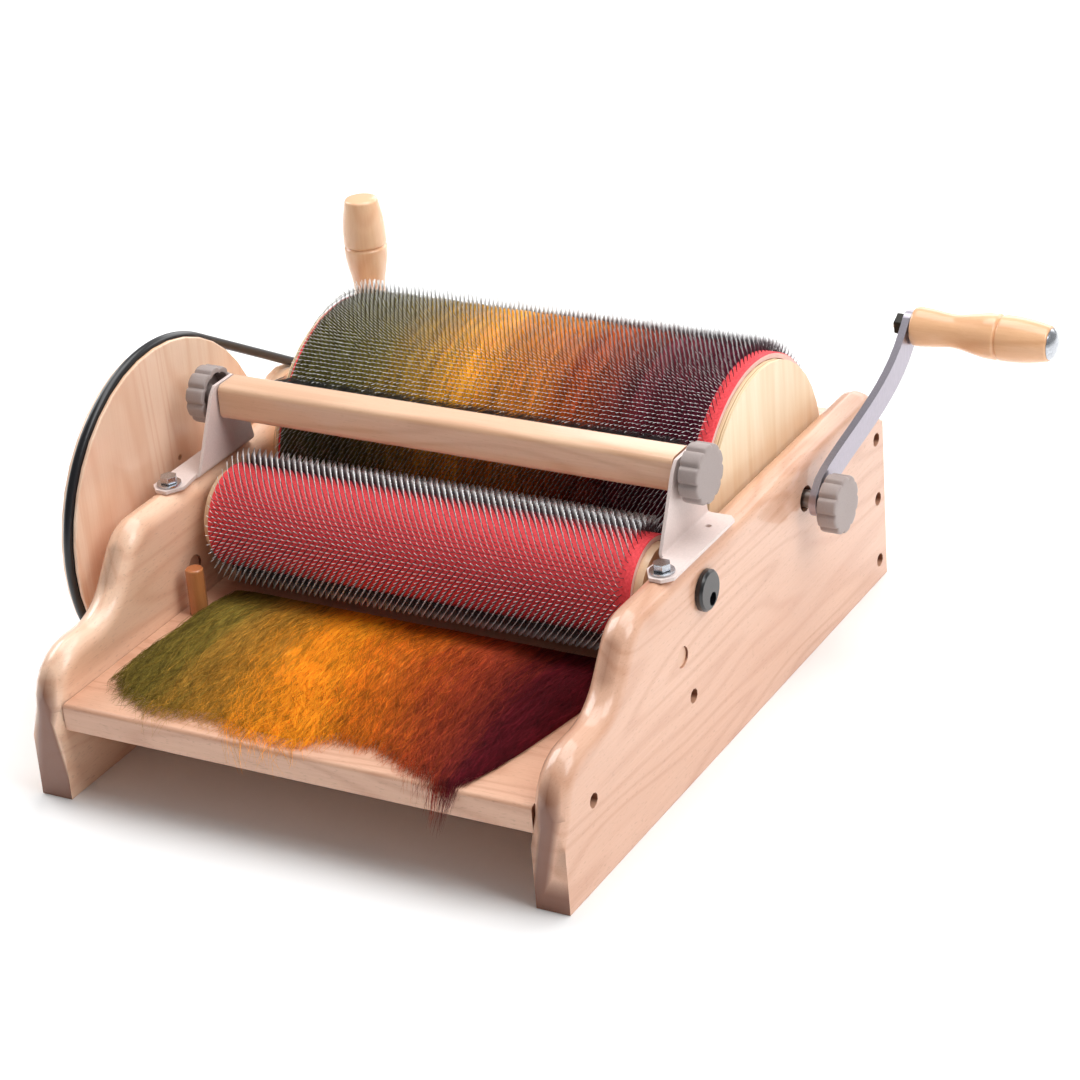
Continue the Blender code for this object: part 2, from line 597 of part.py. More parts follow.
def licker_in(parent):
    bore = LICKER_SHAFT_RADIUS + GAP
    ring("licker_in_core", LICKER_RADIUS, bore, -LICKER_HALF_LENGTH, LICKER_HALF_LENGTH, 24,
         BEECH, parent, (0, *LICKER_AXIS), along_x())
    card_cloth("licker_in_card_cloth", LICKER_CLOTH_RADIUS, LICKER_RADIUS + GAP,
               LICKER_CLOTH_HALF_WIDTH, LICKER_TEETH, -2 * MM, CARD_CLOTH, parent, (0, *LICKER_AXIS))
    rod("licker_in_shaft", LICKER_SHAFT_RADIUS, LEFT_END, PANEL_OUTER - 1.5 * MM, 12, STEEL,
        parent, (0, *LICKER_AXIS), along_x(), 0.5 * MM)
    outer_face = PULLEY_INNER_FACE - PULLEY_THICKNESS
    rim = LARGE_PULLEY_PITCH + 0.2 * MM
    profile = [(rim - 1.2 * MM, PULLEY_INNER_FACE), (rim, PULLEY_INNER_FACE - 0.8 * MM),
               *belt_groove(rim, LARGE_PULLEY_PITCH), (rim - MM, outer_face),
               (bore, outer_face), (bore, PULLEY_INNER_FACE)]
    pulley = turned("large_pulley", profile, 40, BEECH, parent, (0, *LICKER_AXIS), along_x())
    mark = rod("pulley_hole", 2 * MM, PULLEY_INNER_FACE - 8 * MM, PULLEY_INNER_FACE + MM, 8, None,
               parent, (0, LICKER_AXIS[0] + 11 * MM, LICKER_AXIS[1] + 27.5 * MM), along_x())
    cut(pulley, mark)
    hex_nut("large_pulley_nut_inner", PULLEY_INNER_FACE + GAP, 5 * MM, 6.5 * MM,
            LICKER_SHAFT_RADIUS, ZINC, parent, LICKER_AXIS)
    ring("large_pulley_washer", 12 * MM, bore, outer_face - 1.8 * MM, outer_face - GAP, 12, ZINC,
         parent, (0, *LICKER_AXIS), along_x())
    hex_nut("large_pulley_nut_outer", outer_face - 8.6 * MM, 6.5 * MM, 6.5 * MM,
            LICKER_SHAFT_RADIUS, ZINC, parent, LICKER_AXIS)


def eccentric_bushes(parent):
    """The axle's bore sits off the bush's centre, so turning the bush moves the licker-in."""
    face = PANEL_OUTER + GAP
    end = face + BUSH_FLANGE_THICKNESS
    for side, label in ((-1, "left"), (1, "right")):
        profile = [(0, end), (BUSH_FLANGE_RADIUS - 1.5 * MM, end), (BUSH_FLANGE_RADIUS, end - 1.5 * MM),
                   (BUSH_FLANGE_RADIUS, face), (BUSH_BARREL_RADIUS, face),
                   (BUSH_BARREL_RADIUS, HALF_SPACING + MM), (0, HALF_SPACING + MM)]
        bush = turned(f"eccentric_bush_{label}", profile, 20, BLACK_PLASTIC, parent,
                      (0, *BUSH_CENTRE), along_x(side))
        bore = rod(f"axle_bore_{label}", LICKER_SHAFT_RADIUS + 0.35 * MM, HALF_SPACING - MM,
                   end + MM, 12, None, parent, (0, *LICKER_AXIS), along_x(side))
        cut(bush, bore)


def drive_belt(parent):
    """Round elastic belt: an arc on each pulley and the two straight runs between them."""
    large, small = Vector(LICKER_AXIS), Vector(DRUM_AXIS)
    line = small - large
    level = math.atan2(line.y, line.x)
    opening = math.acos((LARGE_PULLEY_PITCH - SMALL_PULLEY_PITCH) / line.length)
    path = []
    for centre, radius, first, last, steps in (
            (large, LARGE_PULLEY_PITCH, level + opening, level + 2 * math.pi - opening, 30),
            (small, SMALL_PULLEY_PITCH, level - opening, level + opening, 8)):
        for step in range(steps + 1):
            angle = first + (last - first) * step / steps
            path.append(centre + radius * Vector((math.cos(angle), math.sin(angle))))
    curve = bpy.data.curves.new("drive_belt", "CURVE")
    curve.dimensions = "3D"
    curve.bevel_depth = BELT_RADIUS
    curve.bevel_resolution = 2
    spline = curve.splines.new("POLY")
    spline.points.add(len(path) - 1)
    for point, place in zip(spline.points, path):
        point.co = (0, place.x, place.y, 1)
    spline.use_cyclic_u = True
    source = bpy.data.objects.new("belt_path", curve)
    CUTTERS.objects.link(source)
    add_piece("drive_belt", meshed(source), RUBBER, parent, (BELT_PLANE, 0, 0))


def knob(name, bore_radius, material, parent, position, side):
    """Scalloped star knob, hollow underneath round a central hub."""
    points = 4 * KNOB_LOBES
    outline = []
    for index in range(points):
        angle = 2 * math.pi * index / points
        radius = KNOB_RADIUS - KNOB_LOBE_DEPTH * (1 - math.cos(KNOB_LOBES * angle)) / 2
        outline.append(Vector((radius * math.cos(angle), radius * math.sin(angle))))
    piece = slab(name, outline, KNOB_THICKNESS, material, parent, position, along_x(side))
    floor = KNOB_THICKNESS / 2 - 3 * MM
    under = -KNOB_THICKNESS / 2
    hollow = [(KNOB_RADIUS - 4 * MM, floor), (KNOB_RADIUS - 3.6 * MM, under - MM),
              (KNOB_HUB_RADIUS, under - MM), (KNOB_HUB_RADIUS, floor)]
    cut(piece, turned(f"{name}_hollow", hollow, 16, None, parent, position, along_x(side)))
    hub_end = under - KNOB_HUB_PROUD
    hub = rod(f"{name}_hub", KNOB_HUB_RADIUS, hub_end, floor + MM, 12, None, parent, position, along_x(side))
    cut(piece, hub, "UNION")
    bore = rod(f"{name}_bore", bore_radius, hub_end - MM, floor, 10, None, parent, position, along_x(side))
    cut(piece, bore)
    return piece


def brush_bracket(name, side, parent):
    """Pressed plate: a foot bolted on the panel's top edge and an upright for the brush."""
    foot_height = PANEL_HEIGHT + GAP + BRACKET_THICKNESS / 2
    fold = side * BRACKET_PLANE
    foot = ((BRACKET_PLANE, 158 * MM), (173 * MM, 147 * MM), (181 * MM, 147 * MM), (187 * MM, 153 * MM),
            (187 * MM, 236 * MM), (183 * MM, 240 * MM))
    upright = ((198 * MM, 191 * MM), (203 * MM, 196 * MM), (224 * MM, 196 * MM), (229 * MM, 191 * MM))
    shape = bmesh.new()
    front_fold = shape.verts.new((fold, 175 * MM, foot_height))
    back_fold = shape.verts.new((fold, 240 * MM, foot_height))
    foot_verts = [shape.verts.new((side * x, y, foot_height)) for x, y in foot]
    upright_verts = [shape.verts.new((fold, y, z)) for y, z in upright]
    shape.faces.new([front_fold, *foot_verts, back_fold])
    shape.faces.new([back_fold, *reversed(upright_verts), front_fold])
    bmesh.ops.recalc_face_normals(shape, faces=shape.faces)
    fold_edge = shape.edges.get((front_fold, back_fold))
    bmesh.ops.bevel(shape, geom=[fold_edge], offset=2.5 * MM, segments=2, profile=0.5, affect="EDGES")
    mesh = bpy.data.meshes.new(name)
    shape.to_mesh(mesh)
    shape.free()
    bracket = add_piece(name, mesh, TAUPE_STEEL, parent, (0, 0, 0))
    sheet = bracket.modifiers.new("sheet", "SOLIDIFY")
    sheet.thickness = BRACKET_THICKNESS
    sheet.offset = 0.0
    cut(bracket, rod(f"{name}_bolt_hole", 3.4 * MM, foot_height - 4 * MM, foot_height + 4 * MM, 10,
                     None, parent, (side * BRACKET_BOLT[0], BRACKET_BOLT[1], 0)))
    cut(bracket, rod(f"{name}_spare_hole", 2 * MM, foot_height - 4 * MM, foot_height + 4 * MM, 8,
                     None, parent, (side * 176 * MM, 222 * MM, 0)))
    cut(bracket, rod(f"{name}_stud_hole", 3.4 * MM, 0.155, 0.18, 10, None, parent,
                     (0, *BRUSH_AXIS), along_x(side)))
    return foot_height + BRACKET_THICKNESS / 2


def brush_mountings(parent):
    for side, label in ((-1, "left"), (1, "right")):
        plate_top = brush_bracket(f"brush_bracket_{label}", side, parent)
        place = (side * BRACKET_BOLT[0], BRACKET_BOLT[1], 0)
        washer_top = plate_top + GAP + 1.6 * MM
        ring(f"bracket_washer_{label}", 8 * MM, 3.4 * MM, plate_top + GAP, washer_top, 14, ZINC,
             parent, place)
        seat = washer_top + GAP
        bolt = rod(f"bracket_bolt_{label}", 3 * MM, PANEL_HEIGHT - 30 * MM, seat + MM, 8, ZINC,
                   parent, place)
        corner = 5 * MM / math.cos(math.pi / 6)
        head = rod(f"bracket_bolt_{label}_head", corner, seat, seat + 4.2 * MM, 6, None, parent, place)
        cut(bolt, head, "UNION")


def brush(parent):
    front, back, bottom, top = BAR_BOX
    corners = ((front, bottom, 4.5 * MM), (back, bottom, 4.5 * MM), (back, top, 4.5 * MM),
               (front, top, 4.5 * MM))
    bar = slab("brush_bar", filleted(corners, 3), 2 * BAR_HALF_LENGTH, BEECH, parent, (0, 0, 0), UPRIGHT)
    tip_radius = DRUM_CLOTH_RADIUS + DRUM_TEETH[2] + 0.8 * MM
    tips = []
    for height in (187.0 * MM, 180.5 * MM, 174.0 * MM):
        rise = height - DRUM_AXIS[1]
        tips.append(Vector((DRUM_AXIS[0] - math.sqrt(tip_radius ** 2 - rise ** 2), height)))
    base = [Vector((back + GAP, 179 * MM)), Vector((back + GAP, 188.5 * MM))]
    slab("brush_bristles", base + tips, 2 * 150 * MM, BRISTLE, parent, (0, 0, 0), UPRIGHT)
    for side, label in ((-1, "left"), (1, "right")):
        stud_end = 180 * MM
        stud_start = BAR_HALF_LENGTH - 25 * MM
        hole = rod(f"stud_hole_{label}", 3.3 * MM, stud_start - GAP, stud_end, 10, None, parent,
                   (0, *BRUSH_AXIS), along_x(side))
        cut(bar, hole)
        rod(f"brush_stud_{label}", 3 * MM, stud_start, stud_end, 8, ZINC, parent,
            (0, *BRUSH_AXIS), along_x(side))
        outer = BRACKET_PLANE + BRACKET_THICKNESS / 2 + GAP
        ring(f"brush_washer_{label}", 8 * MM, 3.3 * MM, outer, outer + 1.5 * MM, 12, ZINC, parent,
             (0, *BRUSH_AXIS), along_x(side))


def build():
    root = bpy.data.objects.new("drum_carder", None)
    PARTS.objects.link(root)
    root.location = (-(LEFT_END + RIGHT_END) / 2, -PANEL_LENGTH / 2, 0)
    frame_boards(root)
    panel_fittings(root)
    brush_mountings(root)
    tray_wool(root)
    drive_belt(root)

    drum_axis = empty_at("main_drum_axis", (0, *DRUM_AXIS), root)
    main_drum(drum_axis)
    main_axle(drum_axis)
    crank(drum_axis)
    handle_bolt(drum_axis)
    knob_middle = ARM_INNER_FACE + ARM_THICKNESS + 2.9 * MM + KNOB_HUB_PROUD + KNOB_THICKNESS / 2
    knob("crank_knob", SHAFT_THREAD_RADIUS + GAP, TAUPE_PLASTIC, drum_axis,
         (knob_middle, *DRUM_AXIS), 1)
    handle_axis = empty_at("crank_handle_axis", (0, *HANDLE_AXIS), drum_axis)
    doffer_axis = empty_at("doffer_axis", (*DOFFER_PLACE, PANEL_HEIGHT), root)
    handles(handle_axis, doffer_axis)

    bush_axis = empty_at("bush_axis", (0, *BUSH_CENTRE), root)
    eccentric_bushes(bush_axis)
    licker_axis = empty_at("licker_in_axis", (0, *LICKER_AXIS), bush_axis)
    licker_in(licker_axis)

    brush_axis = empty_at("brush_axis", (0, *BRUSH_AXIS), root)
    brush(brush_axis)
    knob_middle = BRACKET_PLANE + BRACKET_THICKNESS / 2 + 2.1 * MM + KNOB_HUB_PROUD + KNOB_THICKNESS / 2
    for side, label in ((-1, "left"), (1, "right")):
        knob(f"brush_knob_{label}", 3.3 * MM, TAUPE_PLASTIC, brush_axis,
             (side * knob_middle, *BRUSH_AXIS), side)


clear_scene()
PARTS = new_collection("drum_carder")
CUTTERS = new_collection("cutters")
BEECH = principled("lacquered_beech", (0.78, 0.55, 0.36), 0.35)
PLYWOOD = principled("birch_plywood", (0.90, 0.74, 0.50), 0.45)
DOWEL = principled("hardwood_dowel", (0.57, 0.18, 0.05), 0.45)
CARD_CLOTH = principled("card_clothing", (0.62, 0.06, 0.08), 0.6)
STEEL = principled("satin_steel", (0.55, 0.53, 0.52), 0.3, 1.0)
BLACK_STEEL = principled("blackened_steel", (0.05, 0.05, 0.05), 0.4, 1.0)
ZINC = principled("zinc_plate", (0.75, 0.76, 0.78), 0.25, 1.0)
BEARING = principled("bronze_bearing", (0.25, 0.17, 0.12), 0.4, 1.0)
BLACK_PLASTIC = principled("black_plastic", (0.01, 0.01, 0.01), 0.25)
RUBBER = principled("elastic_belt", (0.01, 0.01, 0.015), 0.4)
TAUPE_PLASTIC = principled("taupe_plastic", (0.42, 0.35, 0.31), 0.45)
TAUPE_STEEL = principled("taupe_enamel", (0.45, 0.37, 0.31), 0.45)
BRISTLE = principled("black_bristle", (0.01, 0.01, 0.01), 0.6)
WOOL = principled("dyed_wool", (0.65, 0.33, 0.04), 0.95)
build()
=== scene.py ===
"""A hand-cranked drum carder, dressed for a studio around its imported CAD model."""

import json
import math

import bmesh
import bpy
import numpy as np
from mathutils import Matrix, Vector


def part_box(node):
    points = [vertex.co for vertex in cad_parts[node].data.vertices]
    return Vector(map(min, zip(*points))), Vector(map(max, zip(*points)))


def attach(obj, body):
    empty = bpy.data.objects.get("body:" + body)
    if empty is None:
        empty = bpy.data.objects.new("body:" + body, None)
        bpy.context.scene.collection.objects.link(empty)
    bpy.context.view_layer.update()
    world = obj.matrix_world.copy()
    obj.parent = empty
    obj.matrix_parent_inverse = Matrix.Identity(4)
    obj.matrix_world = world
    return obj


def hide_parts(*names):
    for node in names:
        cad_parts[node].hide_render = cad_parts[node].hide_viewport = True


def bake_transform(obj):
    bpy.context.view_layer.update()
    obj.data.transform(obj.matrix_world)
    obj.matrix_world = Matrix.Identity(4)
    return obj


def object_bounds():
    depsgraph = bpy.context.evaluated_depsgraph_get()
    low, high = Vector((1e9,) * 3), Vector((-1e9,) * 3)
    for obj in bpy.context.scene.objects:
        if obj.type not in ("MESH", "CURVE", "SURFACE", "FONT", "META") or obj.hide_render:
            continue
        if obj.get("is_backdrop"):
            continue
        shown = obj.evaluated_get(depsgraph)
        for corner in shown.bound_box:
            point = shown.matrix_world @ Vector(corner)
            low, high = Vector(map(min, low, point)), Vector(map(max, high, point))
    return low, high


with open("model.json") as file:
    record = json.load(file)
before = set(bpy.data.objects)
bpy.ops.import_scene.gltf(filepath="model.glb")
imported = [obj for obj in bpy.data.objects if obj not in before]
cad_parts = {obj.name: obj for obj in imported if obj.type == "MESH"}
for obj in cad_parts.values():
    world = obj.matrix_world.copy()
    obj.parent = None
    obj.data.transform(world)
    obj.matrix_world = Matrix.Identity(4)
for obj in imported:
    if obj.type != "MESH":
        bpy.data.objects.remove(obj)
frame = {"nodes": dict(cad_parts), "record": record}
cad_low, cad_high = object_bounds()
MM = 0.001

# --- Studio ---------------------------------------------------------------------------------
# The carder stands on a white sweep under a big overhead softbox, with others high on the
# right, behind it and on the left. The camera looks down on it past the crank side.
scene = bpy.context.scene
scene.view_settings.view_transform = "Standard"
scene.view_settings.look = "None"
CAMERA_PLACE = (0.9559741, -1.6172126, 1.0377807)
CAMERA_AZIMUTH, CAMERA_ELEVATION, CAMERA_ROLL = (math.radians(angle) for angle in
                                                 (30.5356, 26.3094, -4.6801))
CAMERA_LENS = 110.4


def linear(colour):
    """An sRGB hex value as linear RGBA."""
    parts = [int(colour[place:place + 2], 16) / 255 for place in (1, 3, 5)]
    return [*(p / 12.92 if p <= 0.04045 else ((p + 0.055) / 1.055) ** 2.4 for p in parts), 1.0]


def add_node(tree, kind, links=(), stops=(), **settings):
    """One node: settings are its properties, links its inputs as values or as other sockets."""
    node = tree.nodes.new("ShaderNode" + kind)
    for key, value in settings.items():
        setattr(node, key, value)
    for key, value in dict(links).items():
        if isinstance(value, bpy.types.NodeSocket):
            tree.links.new(value, node.inputs[key])
        else:
            node.inputs[key].default_value = value
    for place, (position, colour) in enumerate(stops):
        elements = node.color_ramp.elements
        element = elements[place] if place < 2 else elements.new(position)
        element.position, element.color = position, linear(colour)
    return node


def new_surface(name, **plain):
    """A material with one Principled shader, whose uniform values are set on its own sockets."""
    material = bpy.data.materials.new(name)
    material.use_nodes = True
    tree = material.node_tree
    shader = tree.nodes["Principled BSDF"]
    for key, value in plain.items():
        socket = shader.inputs[key.replace("_", " ").title().replace("Ior", "IOR")]
        socket.default_value = value
    return material, tree, shader


def place_camera():
    back = Vector((math.sin(CAMERA_AZIMUTH) * math.cos(CAMERA_ELEVATION),
                   -math.cos(CAMERA_AZIMUTH) * math.cos(CAMERA_ELEVATION),
                   math.sin(CAMERA_ELEVATION)))
    right = Vector((0, 0, 1)).cross(back).normalized()
    up = back.cross(right)
    rolled_right = math.cos(CAMERA_ROLL) * right + math.sin(CAMERA_ROLL) * up
    rolled_up = math.cos(CAMERA_ROLL) * up - math.sin(CAMERA_ROLL) * right
    camera = bpy.data.objects.new("camera", bpy.data.cameras.new("camera"))
    scene.collection.objects.link(camera)
    turn = Matrix((rolled_right, rolled_up, back)).transposed().to_4x4()
    camera.matrix_world = Matrix.Translation(CAMERA_PLACE) @ turn
    camera.data.lens = CAMERA_LENS
    camera.data.sensor_width = 36.0
    camera.data.clip_start, camera.data.clip_end = 0.05, 50.0
    scene.camera = camera


def softbox(name, place, target, size, power):
    light = bpy.data.lights.new(name, "AREA")
    light.shape = "RECTANGLE"
    light.size, light.size_y = size
    light.energy = power
    lamp = bpy.data.objects.new(name, light)
    scene.collection.objects.link(lamp)
    lamp.location = place
    lamp.rotation_euler = (Vector(target) - Vector(place)).to_track_quat("-Z", "Y").to_euler()


def build_studio():
    sweep, tree, shader = new_surface("matt_paper_sweep", roughness=0.9, specular_ior_level=0.2)
    place = add_node(tree, "TexCoord")
    mottle = add_node(tree, "TexNoise", {"Vector": place.outputs["Object"], "Scale": 3.0})
    tone = add_node(tree, "ValToRGB", {"Fac": mottle.outputs["Fac"]},
                    ((0.0, "#FAFAFA"), (1.0, "#FEFEFE")))
    tree.links.new(tone.outputs["Color"], shader.inputs["Base Color"])
    shape = bmesh.new()
    bmesh.ops.create_grid(shape, x_segments=2, y_segments=2, size=12.0)
    floor_mesh = bpy.data.meshes.new("floor")
    shape.to_mesh(floor_mesh)
    shape.free()
    floor_mesh.materials.append(sweep)
    floor = bpy.data.objects.new("floor", floor_mesh)
    floor.location.z = cad_low.z - 0.3 * MM
    scene.collection.objects.link(floor)
    floor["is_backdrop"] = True
    world = bpy.data.worlds.new("white_room")
    world.use_nodes = True
    seen = add_node(world.node_tree, "LightPath").outputs["Is Camera Ray"]
    way = add_node(world.node_tree, "TexCoord").outputs["Generated"]
    parts = add_node(world.node_tree, "SeparateXYZ", {"Vector": way})
    room = add_node(world.node_tree, "MapRange", {"Value": parts.outputs["Y"], "From Min": -1.0,
                                                  "To Min": 0.16, "To Max": 0.5})
    strength = add_node(world.node_tree, "MapRange",
                        {"Value": seen, "To Min": room.outputs["Result"], "To Max": 1.0})
    background = world.node_tree.nodes["Background"]
    background.inputs["Color"].default_value = (1, 1, 1, 1)
    world.node_tree.links.new(strength.outputs["Result"], background.inputs["Strength"])
    scene.world = world
    softbox("overhead_softbox", (0.1, 0.5, 2.2), (0, 0, 0.1), (2.0, 1.6), 36)
    softbox("left_softbox", (-2.0, 0.4, 1.4), (0, 0, 0.1), (1.2, 1.2), 22)
    softbox("right_softbox", (1.7, -0.1, 1.9), (0, 0, 0.1), (1.2, 1.4), 25)
    softbox("back_softbox", (0.1, 2.0, 0.9), (0, 0, 0.15), (2.4, 0.9), 16)


place_camera()
build_studio()

# --- Side panels ----------------------------------------------------------------------------
# Two profiled boards of solid beech, 22 mm thick, sanded, their edges routed to a full
# half-round that runs out at the foot, and finished in clear gloss lacquer. Flat-sawn grain
# runs along them; the feet and the back show darker end grain, its colour deepened further
# as painted shade on those end faces.
# The end-grain colour is darker than real beech end grain: painted shade on the feet and ends.
BEECH_LIGHT, BEECH_LINE, BEECH_END_GRAIN_AND_PAINTED_SHADE = "#E6B89C", "#CC9373", "#7C452A"
GROWTH_RING_MM = 48.0
RAY_FLECK_MM = 0.9
bodies = {node: body for body, nodes in frame["record"]["behaviour"]["bodies"].items()
          for node in nodes}
slots = {part["node"]: part["material_slot"] for part in frame["record"]["subparts"]}


def beech(name, along, light=BEECH_LIGHT, line=BEECH_LINE, end=BEECH_END_GRAIN_AND_PAINTED_SHADE, offset=0.0):
    """Lacquered beech with its grain along one axis: soft growth lines, fine fibre and the
    short ray flecks that mark beech. The clear lacquer gives it a sharp second highlight."""
    material, tree, shader = new_surface(name, roughness=0.42, ior=1.5, coat_weight=0.7,
                                         coat_roughness=0.09, coat_ior=1.5)
    place = add_node(tree, "TexCoord")

    def stretched(across_mm, along_mm):
        scale = [1000 / across_mm] * 3
        scale["XYZ".index(along)] = 1000 / along_mm
        moved = add_node(tree, "Mapping", {"Vector": place.outputs["Object"], "Scale": scale,
                                           "Location": (offset, offset * 0.7, offset * 0.4)})
        return moved.outputs["Vector"]

    figure = add_node(tree, "TexNoise", {"Vector": stretched(GROWTH_RING_MM, 330), "Scale": 1.0,
                                         "Detail": 1.2, "Roughness": 0.4, "Distortion": 0.25})
    count = add_node(tree, "Math", {0: figure.outputs["Fac"], 1: 11.0}, operation="MULTIPLY")
    growth = add_node(tree, "Math", {0: count.outputs["Value"], 1: 0.5}, operation="PINGPONG")
    lines = add_node(tree, "MapRange", {"Value": growth.outputs["Value"], "From Min": 0.0,
                                        "From Max": 0.3, "To Min": 0.42, "To Max": 0.0},
                     interpolation_type="SMOOTHSTEP")
    fibre = add_node(tree, "TexNoise", {"Vector": stretched(1.3, 45), "Scale": 1.0, "Detail": 3.0})
    fibre_part = add_node(tree, "MapRange", {"Value": fibre.outputs["Fac"], "From Min": 0.35,
                                             "From Max": 0.7, "To Min": 0.0, "To Max": 0.22})
    both = add_node(tree, "Math", {0: lines.outputs["Result"], 1: fibre_part.outputs["Result"]},
                    operation="ADD", use_clamp=True)
    wood = add_node(tree, "Mix", {0: both.outputs["Value"], 6: linear(light), 7: linear(line)},
                    data_type="RGBA")
    flecks = add_node(tree, "TexNoise", {"Vector": stretched(RAY_FLECK_MM, 4.5), "Scale": 1.0,
                                         "Detail": 1.0})
    fleck_part = add_node(tree, "MapRange", {"Value": flecks.outputs["Fac"], "From Min": 0.62,
                                             "From Max": 0.74, "To Min": 0.0, "To Max": 0.2})
    flecked = add_node(tree, "Mix", {0: fleck_part.outputs["Result"], 6: wood.outputs[2],
                                     7: linear(end)}, data_type="RGBA")
    patch = add_node(tree, "TexNoise", {"Vector": stretched(70, 260), "Scale": 1.0, "Detail": 1.0})
    patch_part = add_node(tree, "MapRange", {"Value": patch.outputs["Fac"], "From Min": 0.4,
                                             "From Max": 0.7, "To Min": 0.0, "To Max": 0.3})
    toned = add_node(tree, "Mix", {0: patch_part.outputs["Result"], 6: flecked.outputs[2],
                                   7: linear(line)}, data_type="RGBA")
    # End faces take the end colour, which for the default beech also carries painted shade.
    facing = add_node(tree, "SeparateXYZ", {"Vector": place.outputs["Normal"]})
    endwards = add_node(tree, "Math", {0: facing.outputs[along]}, operation="ABSOLUTE")
    end_part = add_node(tree, "MapRange", {"Value": endwards.outputs["Value"], "From Min": 0.66,
                                           "From Max": 0.95, "To Min": 0.0, "To Max": 0.95})
    colour = add_node(tree, "Mix", {0: end_part.outputs["Result"], 6: toned.outputs[2],
                                    7: linear(end)}, data_type="RGBA")
    tree.links.new(colour.outputs[2], shader.inputs["Base Color"])
    relief = add_node(tree, "Bump", {"Height": fibre.outputs["Fac"], "Strength": 0.08,
                                     "Distance": 0.0004})
    tree.links.new(relief.outputs["Normal"], shader.inputs["Normal"])
    return material


def smooth_off(mesh, sharp_degrees):
    """Smooth shading that breaks at real edges."""
    mesh.polygons.foreach_set("use_smooth", [True] * len(mesh.polygons))
    mesh.set_sharp_from_angle(angle=math.radians(sharp_degrees))


def add_piece(name, mesh, material, body, slot, *replaced):
    """Puts a finished mesh on a body, in place of the CAD nodes it stands for."""
    mesh.materials.clear()
    mesh.materials.append(material)
    piece = bpy.data.objects.new(name, mesh)
    scene.collection.objects.link(piece)
    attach(piece, body)
    if replaced:
        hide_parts(*replaced)
    return piece


def finish_node(node, material, eased=0.0, sharp_degrees=38):
    """A CAD node with its flat faces made whole, its edges eased and its curves smooth."""
    source = frame["nodes"][node].data
    shape = bmesh.new()
    corners = [shape.verts.new(vert.co) for vert in source.vertices]
    for polygon in source.polygons:
        shape.faces.new([corners[index] for index in polygon.vertices])
    bmesh.ops.remove_doubles(shape, verts=shape.verts, dist=2e-6)
    bmesh.ops.dissolve_limit(shape, angle_limit=math.radians(0.6), verts=shape.verts,
                             edges=shape.edges)
    if eased:
        edges = [edge for edge in shape.edges if len(edge.link_faces) == 2
                 and edge.calc_face_angle(0.0) > math.radians(sharp_degrees)]
        bmesh.ops.bevel(shape, geom=edges, offset=eased, segments=2, profile=0.6,
                        affect="EDGES", clamp_overlap=True)
    mesh = bpy.data.meshes.new(node + "_finished")
    shape.to_mesh(mesh)
    shape.free()
    smooth_off(mesh, sharp_degrees)
    piece = add_piece(node + "_finished", mesh, material, bodies[node], slots[node], node)
    piece.modifiers.new("flat_faces_stay_flat", "WEIGHTED_NORMAL").keep_sharp = True
    return piece


panel_beech = beech("lacquered_beech_panel", "Y")
# The left panel gets a lighter copy of the beech: painted light on a panel that the drums shade.
panel_beech_left_painted_light = beech("lacquered_beech_left_panel_painted_light", "Y", light="#FFD8BA", line="#EAB492",
                         offset=3.7)
finish_node("side_panel_right", panel_beech)
finish_node("side_panel_left", panel_beech_left_painted_light)

# --- Feed tray, rear board and their fixings ------------------------------------------------
# Two beech boards join the panels: the feed tray in front and a stiff rear board. Each is
# held by black wood screws sunk in the panels, and a plugged bore shows in each panel.
board_beech = beech("lacquered_beech_boards", "X", light="#E6B698", line="#C88E70",
                    offset=1.3)
for node in ("feed_tray", "rear_board"):
    finish_node(node, board_beech)
plug_beech = beech("lacquered_beech_plugs", "X", light="#E9BD9F", line="#CF9877", end="#DDAE90")
for node in ("panel_plug_left", "panel_plug_right"):
    finish_node(node, plug_beech, 0.4 * MM)
peg_wood = beech("oiled_hardwood_pegs", "Z", light="#D08A54", line="#A9602F", end="#B56A3A")
for node in ("guide_peg_left", "guide_peg_right"):
    finish_node(node, peg_wood, 0.4 * MM)


def grained(name, colour, spacing_mm, darker, contrast, bump, depth_mm, **plain):
    """A finish whose colour and relief follow one fine pattern, with its spacing on each axis."""
    material, tree, shader = new_surface(name, **plain)
    place = add_node(tree, "TexCoord")
    scaled = add_node(tree, "Mapping", {"Vector": place.outputs["Object"],
                                        "Scale": [1000 / spacing for spacing in spacing_mm]})
    grain = add_node(tree, "TexNoise", {"Vector": scaled.outputs["Vector"], "Scale": 1.0,
                                        "Detail": 2.0})
    tone = add_node(tree, "MapRange", {"Value": grain.outputs["Fac"], "From Min": 0.3,
                                       "From Max": 0.7, "To Min": 0.0, "To Max": contrast})
    base = linear(colour)
    dark = [part * darker for part in base[:3]] + [1]
    shade = add_node(tree, "Mix", {0: tone.outputs["Result"], 6: base, 7: dark}, data_type="RGBA")
    tree.links.new(shade.outputs[2], shader.inputs["Base Color"])
    relief = add_node(tree, "Bump", {"Height": grain.outputs["Fac"], "Strength": bump,
                                     "Distance": depth_mm * MM})
    tree.links.new(relief.outputs["Normal"], shader.inputs["Normal"])
    return material


def plated(name, colour, roughness, speckle_mm, contrast):
    """Plated or blackened steel: a mirror-like coat broken up by the crystals of the plating."""
    return grained(name, colour, [speckle_mm] * 3, 0.45, contrast, 0.12, 0.2, metallic=1.0,
                   roughness=roughness)


blackened_steel = plated("blackened_steel", "#3A3836", 0.38, 1.1, 0.5)
for number in range(1, 5):
    finish_node(f"tray_screw_{number}", blackened_steel)
for number in range(1, 7):
    finish_node(f"rear_screw_{number}", blackened_steel)

